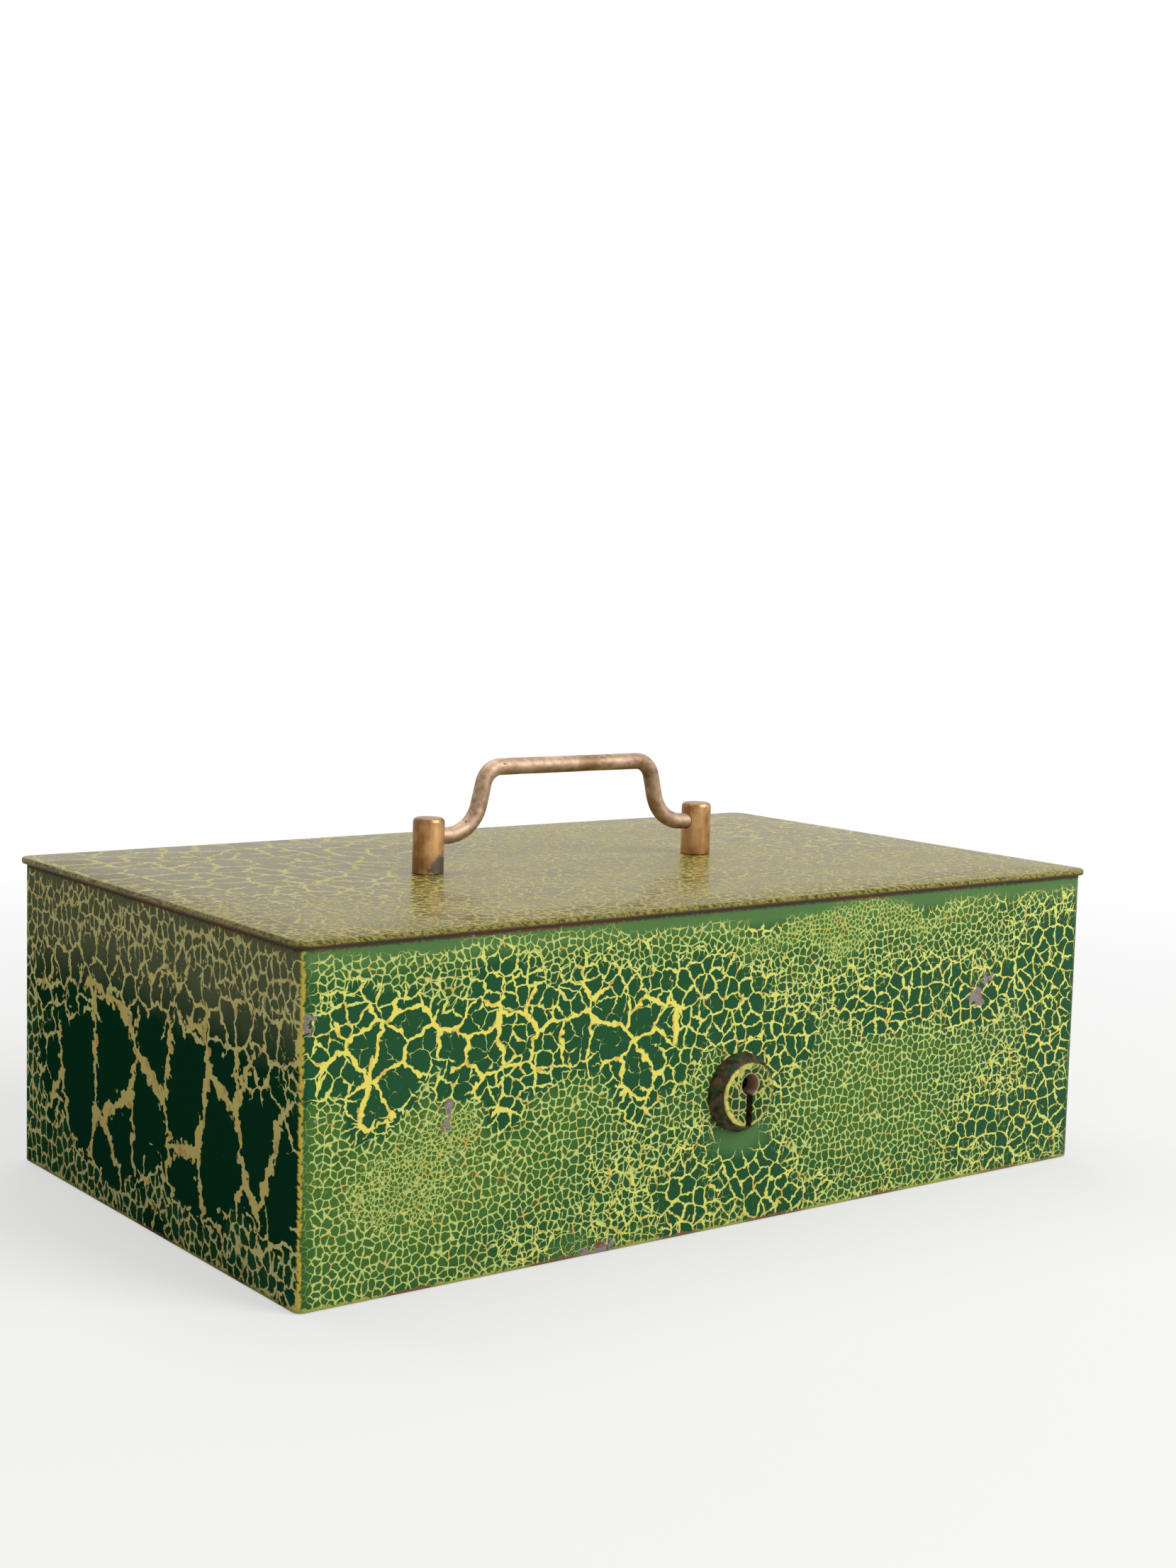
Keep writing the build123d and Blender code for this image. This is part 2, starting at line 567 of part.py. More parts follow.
def lever_window(swing):
    """Two pockets for the bolt's stump, and the gate under the bridge between them."""
    half = STUMP / 2 * (1 + sin(radians(swing))) + WINDOW_CLEAR
    bridge_x = stump_seen_by_lever(THROW / 2, swing)[0]
    enters = stump_seen_by_lever(THROW / 2 - half - BRIDGE_W / 2, swing)[1]
    leaves = stump_seen_by_lever(THROW / 2 + half + BRIDGE_W / 2, swing)[1]
    far_x, far_z = stump_seen_by_lever(THROW, swing)
    bridge_left = STUMP_X + bridge_x - BRIDGE_W / 2
    bridge_right = bridge_left + BRIDGE_W
    top = STUMP_Z + half
    near_floor = STUMP_Z + leaves - half
    panel(STUMP_X - half, bridge_left, near_floor, top, mode=Mode.SUBTRACT)
    panel(bridge_left, bridge_right, near_floor, STUMP_Z + enters + half, mode=Mode.SUBTRACT)
    panel(bridge_right, STUMP_X + far_x + half, STUMP_Z + far_z - half, top, mode=Mode.SUBTRACT)


# Levers, each with its own belly and gate, and the spring that presses each one down
for count, swing in enumerate(LEVER_SWINGS, start=1):
    lever_back_y = PLATE_Y + LAYER_GAP + (count - 1) * LEVER_PITCH + LEVER_T
    belly = KEY_Z + BIT_R + PIVOT_X * sin(radians(swing))
    with BuildPart() as lever:
        with BuildSketch(facing_front(lever_back_y)):
            with BuildLine():
                edge = Polyline(
                    (PIVOT_X, GUIDE_Z - LEVER_HEAD_R),
                    (PIVOT_X, GUIDE_Z + LEVER_HEAD_R),
                    (PIVOT_X + LEVER_HEAD_R, LEVER_TOP),
                    (LEVER_END, LEVER_TOP),
                    (LEVER_END, belly + BELLY_RISE),
                )
                ThreePointArc(edge @ 1, (0, belly), (-LEVER_END, belly + BELLY_RISE))
                Line((-LEVER_END, belly + BELLY_RISE), edge @ 0)
            make_face()
            with Locations((PIVOT_X, GUIDE_Z)):
                Circle(LEVER_HEAD_R)
                Circle(GUIDE_R + LEVER_RUN_CLEAR, mode=Mode.SUBTRACT)
            lever_window(swing)
        extrude(amount=LEVER_T)
    write_piece(lever, f"lever_{count}")

    foot_z = LEVER_TOP + SPRING_W / 2
    tip_z = CASE_INNER_TOP - LAYER_GAP - SPRING_W / 2
    with BuildPart() as lever_spring:
        with BuildSketch(facing_front(lever_back_y)):
            with BuildLine():
                FilletPolyline(
                    (SPRING_FOOT_X[0], foot_z),
                    (SPRING_FOOT_X[1], foot_z),
                    (SPRING_TIP_X[0], tip_z),
                    (SPRING_TIP_X[1], tip_z - SPRING_TIP_DIP),
                    radius=SPRING_BEND_R,
                )
            trace(line_width=SPRING_W)
        extrude(amount=LEVER_T)
    write_piece(lever_spring, f"lever_spring_{count}")

# Keepers that hang from the lid, one ahead of each hook
for hook_left, side_name in zip(HOOK_LEFTS, ("left", "right")):
    keeper_left = hook_left + HOOK_W + HOOK_REACH + KEEPER_GAP
    keeper_right = keeper_left + KEEPER_T
    window_front = BOLT_Y - KEEPER_WINDOW_SIDE
    window_back = BOLT_BACK_Y + KEEPER_WINDOW_SIDE
    window_low = HOOK_Z - KEEPER_WINDOW_UNDER
    keeper_front = window_front - KEEPER_LEG
    keeper_back = window_back + KEEPER_LEG
    with BuildPart() as keeper:
        block((keeper_left, keeper_front, window_low - KEEPER_SILL), (keeper_right, keeper_back, BODY_H))
        block(
            (keeper_right, keeper_front, BODY_H - KEEPER_FOOT_T),
            (keeper_right + KEEPER_FOOT_L, keeper_back, BODY_H),
        )
        block(
            (keeper_left, window_front, window_low),
            (keeper_right, window_back, HOOK_Z + HOOK_H + KEEPER_WINDOW_OVER),
            mode=Mode.SUBTRACT,
        )
    write_piece(keeper, f"lid_keeper_{side_name}")
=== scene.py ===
"""Looks of a steel strongbox in crackle enamel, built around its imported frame.

Metres, +Z up. The origin is the middle of the base, on the floor, and the front faces -Y. Sizes and
patterns are written in millimetres, because folds, paint, rust and tool marks are that small.
"""

import json
import logging
from collections.abc import Callable
from dataclasses import dataclass
from enum import Enum
from functools import partial
from math import cos, pi, radians, sin

import bpy
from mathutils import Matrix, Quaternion, Vector


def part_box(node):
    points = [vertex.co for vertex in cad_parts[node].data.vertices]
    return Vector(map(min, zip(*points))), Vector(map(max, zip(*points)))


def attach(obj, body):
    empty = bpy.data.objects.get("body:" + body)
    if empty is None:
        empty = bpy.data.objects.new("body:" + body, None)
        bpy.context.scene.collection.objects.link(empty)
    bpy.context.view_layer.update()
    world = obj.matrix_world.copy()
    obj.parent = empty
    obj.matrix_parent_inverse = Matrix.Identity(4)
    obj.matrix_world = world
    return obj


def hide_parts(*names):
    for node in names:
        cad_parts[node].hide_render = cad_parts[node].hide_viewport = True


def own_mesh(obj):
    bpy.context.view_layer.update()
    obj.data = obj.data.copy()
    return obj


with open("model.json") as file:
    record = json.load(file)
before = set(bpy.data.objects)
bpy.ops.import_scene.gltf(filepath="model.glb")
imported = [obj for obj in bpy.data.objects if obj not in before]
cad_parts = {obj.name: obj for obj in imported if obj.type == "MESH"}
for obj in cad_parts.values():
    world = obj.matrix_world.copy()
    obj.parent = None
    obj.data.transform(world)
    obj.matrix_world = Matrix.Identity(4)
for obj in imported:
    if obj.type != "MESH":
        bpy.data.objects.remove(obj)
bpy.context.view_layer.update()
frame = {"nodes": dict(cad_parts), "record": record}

MM = 0.001
FAR = 1e4  # mm, a reach that never ends a patch
COLORS = {"data_type": "RGBA", "out": 2}  # a Mix node for colours, which leave by its third output
EASED = {"interpolation_type": "SMOOTHSTEP"}

SLOTS = {part["node"]: part["material_slot"] for part in frame["record"]["subparts"]}
BODIES = {node: body for body, members in frame["record"]["behaviour"]["bodies"].items()
          for node in members}

Triple = tuple[float, float, float]
Socket = bpy.types.NodeSocket
Value = float | tuple | Socket
Material = bpy.types.Material
Piece = bpy.types.Object

log = logging.getLogger("strongbox")


def srgb(code: str) -> tuple[float, float, float, float]:
    """Turn a colour as it is seen into the linear one that a shader takes.

    Args:
        code: Six hex digits, red, green and blue.

    Returns:
        Linear red, green, blue and a full alpha.
    """
    shares = [int(code[i:i + 2], 16) / 255 for i in (0, 2, 4)]
    linear = [s / 12.92 if s <= 0.04045 else ((s + 0.055) / 1.055) ** 2.4 for s in shares]
    return linear[0], linear[1], linear[2], 1.0


class Sheet(Enum):
    """The plane that a sheet lies in: the two axes along it, and the one across."""

    FRONT = (0, 2, 1)
    SIDE = (1, 2, 0)
    LEVEL = (0, 1, 2)


def add_node(tree: bpy.types.NodeTree, kind: str, inputs: dict | list | tuple = (), out: int = 0,
             **settings: object) -> Socket:
    """Add one node.

    Args:
        tree: The nodes of the material or the world that it is for.
        kind: Blender's name for the node, without the word that all of them begin with.
        inputs: Values or other sockets, as a list for its first sockets or by number or name.
        out: Which of the node's outputs is wanted.
        **settings: The node's own options.

    Returns:
        The wanted output.
    """
    node = tree.nodes.new("ShaderNode" + kind)
    for name, setting in settings.items():
        setattr(node, name, setting)
    for key, value in inputs.items() if isinstance(inputs, dict) else enumerate(inputs):
        if isinstance(value, Socket):
            tree.links.new(value, node.inputs[key])
        else:
            node.inputs[key].default_value = value
    return node.outputs[out] if node.outputs else None


class Recipe:
    """A material in the making: its nodes, and the place on the piece in millimetres."""

    ACROSS = 0.9  # how far the pattern slides along a sheet per mm across, so no two sides are the same

    def __init__(self, name: str) -> None:
        """Start an empty material that knows where on the piece it is."""
        self.material = bpy.data.materials.new(name)
        self.material.use_nodes = True
        self.material.node_tree.nodes.clear()
        self.add = partial(add_node, self.material.node_tree)
        metres = self.add("TexCoord", out=3)
        self.place = self.add("VectorMath", {0: metres, 3: 1 / MM}, operation="SCALE")
        self.axes = tuple(self.add("SeparateXYZ", [self.place]).node.outputs)

    def unrolled(self, sheet: Sheet) -> Socket:
        """Find the place along a sheet, flat, so that a pattern costs little to work out.

        Args:
            sheet: The plane that the sheet lies in.

        Returns:
            The two distances along the sheet, in millimetres.
        """
        first, second, across = (self.axes[i] for i in sheet.value)
        both = self.add("CombineXYZ", [first, second])
        slide = self.add("Math", [across, self.ACROSS], operation="MULTIPLY")
        return self.add("VectorMath", [both, slide], operation="ADD")

    def jogged(self, place: Socket, noise: Socket, jog: Triple) -> Socket:
        """Move a place about by a noise, by up to half a jog each way."""
        lean = self.add("VectorMath", [noise, (0.5, 0.5, 0.5)], operation="SUBTRACT")
        return self.add("VectorMath", [lean, jog, place], operation="MULTIPLY_ADD")

    def layer(self, under: Socket, where: Socket, varied: Socket, tones: tuple[str, str]) -> Socket:
        """Lay a layer of two tones over a colour.

        Args:
            under: The colour so far.
            where: 1 where the layer lies, and 0 where it doesn't.
            varied: How much of the second tone it has.
            tones: The two of them.

        Returns:
            The colour with the layer on it.
        """
        tone = self.add("Mix", {0: varied, 6: srgb(tones[0]), 7: srgb(tones[1])}, **COLORS)
        return self.add("Mix", {0: where, 6: under, 7: tone}, **COLORS)

    def close(self, shader: dict, height: Socket | None = None) -> Material:
        """Close the material.

        Args:
            shader: The surface shader's inputs by name.
            height: Relief in millimetres, if the surface has any.

        Returns:
            The finished material.
        """
        if height is not None:
            shader["Normal"] = self.add("Bump", {"Height": height, "Distance": MM})
        surface = self.add("BsdfPrincipled", shader)
        self.add("OutputMaterial", [surface])
        return self.material


@dataclass(frozen=True)
class Patch:
    """A rounded region of a piece, in millimetres, in which something is stronger or weaker."""

    centre: Triple
    reach: Triple
    level: float = 1.0
    soft: float = 0.45  # share of the reach over which it fades

    def share(self, mix: Recipe, place: Socket) -> Socket:
        """Find how much of the patch is here.

        Args:
            mix: The material that it is part of.
            place: Where on the piece, in millimetres, which may wander a little.

        Returns:
            The patch's level inside it, and nothing outside.
        """
        offset = mix.add("VectorMath", [place, self.centre], operation="SUBTRACT")
        scaled = mix.add("VectorMath", [offset, self.reach], operation="DIVIDE")
        length = mix.add("VectorMath", [scaled], out=1, operation="LENGTH")
        return mix.add("MapRange", [length, 1 - self.soft, 1 + self.soft, self.level, 0.0], **EASED)


@dataclass(frozen=True)
class Ground:
    """What all crack networks of one sheet share."""

    flat: Socket  # mm along the sheet
    wide: Socket  # noise a few mm across: jogs the long cracks and ends them
    tight: Socket  # noise about a mm across: the same for the fine ones
    size: Socket  # from 0, the finest cracks, to 1, the coarsest
    calm: Value  # 1 where the coat cracked, and 0 where it didn't


@dataclass(frozen=True)
class Network:
    """Cracks of one size, which opened where the top coat shrank as it dried."""

    cell: float  # mm from crack to crack
    width: float  # mm, half of a full crack
    color: str
    opens: tuple[float, float]  # sizes between which the cracks appear
    closes: tuple[float, float]  # sizes between which they go again
    least: float = 0.0  # how open they stay past that
    tall: float = 1.0  # how much longer the cells are upwards
    broken: float = 1.6  # how unevenly the cracks open along their way, and so how many end
    jog_wide: float = 2.6  # mm
    jog_tight: float = 0.5  # mm
    by_tight: float = 0.0  # share of the breaks that follow the tight noise
    webbed: bool = True  # wider where cracks meet
    fullest: float = 1.15  # share of the full width at which a crack stops widening
    disorder: float = 0.95  # of the cells: 0 for a grid, 1 with some so small that their cracks merge

    def cover(self, mix: Recipe, ground: Ground) -> Socket:
        """Find the cracks.

        Args:
            mix: The material that they are part of.
            ground: What the networks of this sheet share.

        Returns:
            1 in a crack and 0 on the top coat.
        """
        bent = ground.flat
        for noise, jog in ((ground.wide, self.jog_wide), (ground.tight, self.jog_tight)):
            bent = mix.jogged(bent, noise, (2 * jog, 2 * jog, 0))
        squeezed = mix.add("VectorMath", [bent, (1.0, self.tall, 1.0)], operation="DIVIDE")
        cells = {"Vector": squeezed, "Scale": 1 / self.cell, "Randomness": self.disorder}
        if self.webbed:
            near, next_near = (mix.add("TexVoronoi", cells, feature=feature, voronoi_dimensions="2D")
                               for feature in ("F1", "F2"))
            gap = mix.add("Math", [next_near, near], operation="SUBTRACT")
            distance = mix.add("Math", [gap, self.cell / 2], operation="MULTIPLY")
        else:
            gap = mix.add("TexVoronoi", cells, feature="DISTANCE_TO_EDGE", voronoi_dimensions="2D")
            distance = mix.add("Math", [gap, self.cell], operation="MULTIPLY")
        past = mix.add("Math", [self.half_width(mix, ground), distance], operation="SUBTRACT")
        soft = 0.10 + 0.12 * self.width  # mm over which an edge fades
        return mix.add("Math", [past, 1 / soft], operation="MULTIPLY", use_clamp=True)

    def half_width(self, mix: Recipe, ground: Ground) -> Socket:
        """Find how wide the cracks are here, in millimetres from their middle.

        Args:
            mix: The material that they are part of.
            ground: What the networks of this sheet share.

        Returns:
            Half of the width, which is below nothing where they are shut.
        """
        come = mix.add("MapRange", [ground.size, self.opens[0], self.opens[1]], **EASED)
        go = mix.add("MapRange", [ground.size, self.closes[0], self.closes[1], 1.0, self.least], **EASED)
        level = mix.add("Math", [come, go], operation="MULTIPLY")
        shut = 0.22 * self.broken
        level = mix.add("Math", [level, 1 + shut, -shut], operation="MULTIPLY_ADD")
        thirds = [mix.add("SeparateXYZ", [noise], out=2) for noise in (ground.wide, ground.tight)]
        along = mix.add("Mix", {0: self.by_tight, 2: thirds[0], 3: thirds[1]}, data_type="FLOAT")
        swing = mix.add("Math", [along, 0.5], operation="SUBTRACT")
        uneven = mix.add("Math", [swing, self.broken, level], operation="MULTIPLY_ADD")
        capped = mix.add("Math", [uneven, self.fullest], operation="MINIMUM")
        opened = mix.add("Math", [capped, ground.calm], operation="MULTIPLY")
        return mix.add("Math", [opened, self.width], operation="MULTIPLY")


@dataclass(frozen=True)
class Edges:
    """Outer faces of a painted piece, in millimetres from the middle of the box and from the floor."""

    half_width: float
    half_depth: float
    top: float

    def inset(self, mix: Recipe, pick: str) -> Socket:
        """Measure inwards from the upright faces.

        Args:
            mix: The material that it is part of.
            pick: MINIMUM for the nearest face, or MAXIMUM for the nearest fold between two of them.

        Returns:
            The distance in millimetres.
        """
        insets = []
        for axis, half in zip(mix.axes, (self.half_width, self.half_depth)):
            size = mix.add("Math", [axis], operation="ABSOLUTE")
            insets.append(mix.add("Math", [half, size], operation="SUBTRACT"))
        return mix.add("Math", [insets[0], insets[1]], operation=pick)

    def calm(self, mix: Recipe, wander: Socket, grit: Socket) -> Value:
        """Say that the coat cracked all over."""
        return 1.0


@dataclass(frozen=True)
class WallEdges(Edges):
    """Folds, foot and rim of the walls, where hands, shelves and the lid wore the paint, with a painted
    shadow of the lid along the rim.
    """

    smooth_strip: float = 4.2  # mm beside each fold, in which few cracks opened
    even_band: float = 4.6  # mm under the rim, in which none did
    fold: float = 1.35  # mm of ochre undercoat along each fold

    def from_fold(self, mix: Recipe, grit: Socket) -> Socket:
        """Measure from the nearest upright fold, in millimetres, with a frayed edge."""
        return mix.add("Math", [grit, 0.9, self.inset(mix, "MAXIMUM")], operation="MULTIPLY_ADD")

    def calm(self, mix: Recipe, wander: Socket, grit: Socket) -> Value:
        """Find where the coat cracked: away from the rim, and less beside the folds."""
        high = mix.add("SeparateXYZ", [wander], out=2)
        level = mix.add("Mix", {0: 0.25, 2: mix.axes[2], 3: high}, data_type="FLOAT")
        band = self.top - self.even_band
        below_rim = mix.add("MapRange", [level, band, band + 3.0, 1.0, 0.0])
        beside = mix.add("MapRange", [self.from_fold(mix, grit), self.smooth_strip - 0.8,
                                      self.smooth_strip + 1.0, 0.35, 1.0])
        return mix.add("Math", [below_rim, beside], operation="MULTIPLY")

    def wear(self, mix: Recipe, color: Socket, grit: Socket, slow: Socket) -> tuple[Socket, Socket]:
        """Show the undercoat along the folds, rust and dirt at the foot, and at the rim a brown band that
        is rust and painted shadow under the lid.

        Args:
            mix: The material that it is part of.
            color: The paint so far.
            grit: Noise a millimetre or two across.
            slow: Noise some centimetres across.

        Returns:
            The paint with its worn edges and painted rim shadow, and where these are.
        """
        ticks = mix.add("MapRange", [grit, 0.60, 0.66])
        fold = mix.add("MapRange", [self.from_fold(mix, grit), self.fold + 0.7, self.fold + 0.2])
        color = mix.layer(color, fold, ticks, ("D8BE4E", "5C5A28"))
        drift = mix.add("MapRange", [slow, 0.42, 0.56])
        low = mix.add("Math", [grit, 2.2, mix.axes[2]], operation="MULTIPLY_ADD")
        foot = mix.add("MapRange", [low, 2.4, 2.0])
        color = mix.layer(color, foot, drift, ("A8A852", "80603F"))
        # Rim band: rust, and painted shadow that the lid's overhang casts on the top of the walls.
        high = mix.add("Math", [grit, 1.8, mix.axes[2]], operation="MULTIPLY_ADD")
        rim = mix.add("MapRange", [high, self.top - 0.3, self.top + 0.2])
        color = mix.layer(color, rim, drift, ("6B4434", "55483A"))
        return color, mix.add("Math", [foot, rim], operation="MAXIMUM")


@dataclass(frozen=True)
class LidEdges(Edges):
    """Rim of the lid, rubbed down to the yellow undercoat in specks."""

    def wear(self, mix: Recipe, color: Socket, grit: Socket, slow: Socket) -> tuple[Socket, Socket]:
        """Speckle the rim with undercoat, and brown its lower arris with rust and painted shade.

        Args:
            mix: The material that it is part of.
            color: The paint so far.
            grit: Noise a millimetre or two across.
            slow: Noise some centimetres across.

        Returns:
            The paint with its worn edges, and where it is worn.
        """
        frayed = mix.add("Math", [grit, 3.0, self.inset(mix, "MINIMUM")], operation="MULTIPLY_ADD")
        near = mix.add("MapRange", {0: frayed, 1: 2.8, 2: 1.6, 4: 0.8})
        dirty = mix.add("MapRange", [grit, 0.42, 0.58])
        color = mix.layer(color, near, dirty, ("9A944E", "483F25"))
        # Lower arris: brown that is rust, and painted shade of the lid's underside edge.
        low = mix.add("Math", [grit, 0.8, mix.axes[2]], operation="MULTIPLY_ADD")
        rust = mix.add("MapRange", [low, self.top - 0.9, self.top - 1.2])
        return mix.add("Mix", {0: rust, 6: color, 7: srgb("5E4030")}, **COLORS), rust


@dataclass(frozen=True)
class CrackleEnamel:
    """Two-coat crackle enamel: dark green brushed over yellow, which shrank open as it dried.

    The eye sees jagged yellow lines a fraction of a millimetre below a shiny green skin.
    """

    NOISES = ((4.2, 2.0), (1.3, 1.0), (24.0, 2.0))  # mm across and detail
    WANDER = (38.0, 38.0, 38.0)  # mm, how far the patches' outlines stray

    name: str
    sheet: Sheet
    edges: Edges
    networks: tuple[Network, ...]
    size: float  # of the cracks, outside all patches
    patches: tuple[Patch, ...] = ()
    chips: tuple[Patch, ...] = ()
    rubbed: tuple[Patch, ...] = ()
    deep: str = "1A4F2B"  # full coat
    thin: str = "446E2E"  # where the cracks are fine, the coat is thin
    even: str = "587F45"  # where it didn't crack
    # painted reflection: the grey that the surroundings would lend the glossy skin, mixed into its colour
    reflection_grey: str = "6A6E50"
    reflection_from: float = 0.0  # mm, height above which the skin is painted grey with a reflection of the surroundings, or 0 for none
    ochre: str = "D29E4A"
    steel: str = "8E827E"
    rust: str = "7A5140"
    roughness: float = 0.26
    gloss: float = 0.12
    ripple: float = 0.10  # mm, broad waves of the sheet

    def material(self) -> Material:
        """Mix the enamel and return it."""
        mix = Recipe(self.name)
        flat = mix.unrolled(self.sheet)
        wide, tight, slow = (mix.add("TexNoise", {"Vector": flat, "Scale": 1 / size, "Detail": detail},
                                     out=1, noise_dimensions="2D") for size, detail in self.NOISES)
        stain, rusting, cloud = mix.add("SeparateXYZ", [wide]).node.outputs
        grit = mix.add("SeparateXYZ", [tight])
        drift = mix.add("SeparateXYZ", [slow], out=2)
        wander = mix.jogged(mix.place, slow, self.WANDER)

        size = mix.add("Math", [drift, 0.7, self.size - 0.35], operation="MULTIPLY_ADD")
        for patch in self.patches:
            size = mix.add("Math", [size, patch.share(mix, wander)], operation="ADD")
        calm, rubbed = self.calmed(mix, wander, grit)
        color = self.top_coat(mix, size, cloud, wander, rubbed)
        color, cracks = self.cracked(mix, Ground(flat, wide, tight, size, calm), color, stain)
        # worn includes the wall rim's band, which is partly painted shadow under the lid.
        color, worn = self.edges.wear(mix, color, grit, drift)
        chipped = self.chipped(mix, wide, tight)
        rusty = mix.add("MapRange", [rusting, 0.50, 0.62])
        color = mix.layer(color, chipped, rusty, (self.steel, self.rust))

        bare = mix.add("Math", [chipped, worn], operation="MAXIMUM")
        rough = mix.add("MapRange", {0: cracks, 3: self.roughness, 4: self.roughness + 0.16})
        rough = mix.add("Mix", {0: bare, 2: rough, 3: 0.6}, data_type="FLOAT")
        sunk = mix.add("Math", [cracks, chipped], operation="MAXIMUM")
        waves = mix.add("Math", [drift, self.ripple], operation="MULTIPLY")
        height = mix.add("Math", [sunk, -0.05, waves], operation="MULTIPLY_ADD")
        looks = {"Base Color": color, "Roughness": rough, "Specular IOR Level": self.gloss}
        return mix.close(looks, height)

    def cracked(self, mix: Recipe, ground: Ground, color: Socket, stain: Socket) -> tuple[Socket, Socket]:
        """Open the cracks, with the undercoat in them stained here and there.

        Args:
            mix: The material that it is part of.
            ground: What the networks share.
            color: The top coat.
            stain: Noise a few millimetres across.

        Returns:
            The paint with its cracks, and where they are.
        """
        cracks: Value = 0.0
        yellows: Value = srgb(self.networks[0].color)
        for network in self.networks:
            cover = network.cover(mix, ground)
            yellows = mix.add("Mix", {0: cover, 6: yellows, 7: srgb(network.color)}, **COLORS)
            cracks = mix.add("Math", [cracks, cover], operation="MAXIMUM")
        stained = mix.add("MapRange", {0: stain, 1: 0.60, 2: 0.70, 4: 0.6})
        yellows = mix.add("Mix", {0: stained, 6: yellows, 7: srgb(self.ochre)}, **COLORS)
        return mix.add("Mix", {0: cracks, 6: color, 7: yellows}, **COLORS), cracks

    def calmed(self, mix: Recipe, wander: Socket, grit: Socket) -> tuple[Value, Value]:
        """Find where the coat cracked, and where it was rubbed smooth again."""
        calm = self.edges.calm(mix, wander, grit)
        rubbed: Value = 0.0
        for patch in self.rubbed:
            rubbed = mix.add("Math", [rubbed, patch.share(mix, mix.place)], operation="MAXIMUM")
        if self.rubbed:
            left = mix.add("Math", [1.0, rubbed], operation="SUBTRACT")
            calm = mix.add("Math", [calm, left], operation="MULTIPLY")
        return calm, rubbed

    def top_coat(self, mix: Recipe, size: Socket, cloud: Socket, wander: Socket, rubbed: Value) -> Socket:
        """Brush on the green, lighter where it lies thin, and greyed above a height by a painted reflection
        of the surroundings.

        Args:
            mix: The material that it is part of.
            size: Size of the cracks here, which grows with the coat.
            cloud: Noise a few millimetres across.
            wander: The place in millimetres, wandering.
            rubbed: Where it was rubbed.

        Returns:
            The green.
        """
        depth = mix.add("Math", [cloud, 0.3, size], operation="MULTIPLY_ADD")
        full = mix.add("MapRange", [depth, 0.12, 0.80], **EASED)
        green = mix.add("Mix", {0: full, 6: srgb(self.thin), 7: srgb(self.deep)}, **COLORS)
        if isinstance(self.edges, WallEdges):
            band = mix.add("MapRange", {0: mix.axes[2], 1: self.edges.top - 9, 2: self.edges.top - 4,
                                        4: 0.85})
            green = mix.add("Mix", {0: band, 6: green, 7: srgb(self.even)}, **COLORS)
        # Painted reflection: above a height the green turns grey, standing in for the surroundings seen in
        # the glossy skin.
        if self.reflection_from:
            high = mix.add("SeparateXYZ", [wander], out=2)
            height = mix.add("Mix", {0: 0.4, 2: mix.axes[2], 3: high}, data_type="FLOAT")
            painted_reflection = mix.add("MapRange", {0: height, 1: self.reflection_from - 4, 2: self.reflection_from + 12, 4: 0.7})
            green = mix.add("Mix", {0: painted_reflection, 6: green, 7: srgb(self.reflection_grey)}, **COLORS)
        return mix.add("Mix", {0: rubbed, 6: green, 7: srgb("4C7640")}, **COLORS)

    def chipped(self, mix: Recipe, wide: Socket, tight: Socket) -> Socket:
        """Find where the paint has gone, down to the steel.

        Args:
            mix: The material that it is part of.
            wide: Noise a few millimetres across.
            tight: Noise about a millimetre across.

        Returns:
            1 on bare steel.
        """
        place = mix.jogged(mix.jogged(mix.place, wide, (7, 7, 7)), tight, (3.5, 3.5, 3.5))
        fleck = mix.add("TexNoise", {"Vector": mix.place, "Scale": 1 / 5.5, "Detail": 3.0})
        gone = mix.add("MapRange", [fleck, 0.765, 0.78])
        for patch in self.chips:
            gone = mix.add("Math", [gone, patch.share(mix, place)], operation="MAXIMUM")
        return gone


@dataclass(frozen=True)
class DippedEnamel:
    """Plain green stoving enamel of the hidden faces: one even skin with orange peel, scuffed and dusty."""

    name: str = "plain_green_enamel"
    color: str = "17452E"
    scuffed: str = "1F4E35"
    roughness: float = 0.36

    def material(self) -> Material:
        """Mix the enamel and return it."""
        mix = Recipe(self.name)
        cloud = mix.add("TexNoise", {"Vector": mix.place, "Scale": 1 / 16, "Detail": 5.0})
        scuff = mix.add("MapRange", [cloud, 0.38, 0.68])
        color = mix.add("Mix", {0: scuff, 6: srgb(self.color), 7: srgb(self.scuffed)}, **COLORS)
        fleck = mix.add("TexNoise", {"Vector": mix.place, "Scale": 1 / 3.5, "Detail": 4.0})
        nick = mix.add("MapRange", [fleck, 0.73, 0.75])
        color = mix.add("Mix", {0: nick, 6: color, 7: srgb("75685E")}, **COLORS)
        rough = mix.add("MapRange", {0: scuff, 3: self.roughness, 4: self.roughness + 0.16})
        peel = mix.add("TexNoise", {"Vector": mix.place, "Scale": 1 / 1.4, "Detail": 1.0})
        skin = mix.add("Math", [peel, 0.015], operation="MULTIPLY")
        height = mix.add("Math", [nick, -0.05, skin], operation="MULTIPLY_ADD")
        return mix.close({"Base Color": color, "Roughness": rough, "Specular IOR Level": 0.3}, height)


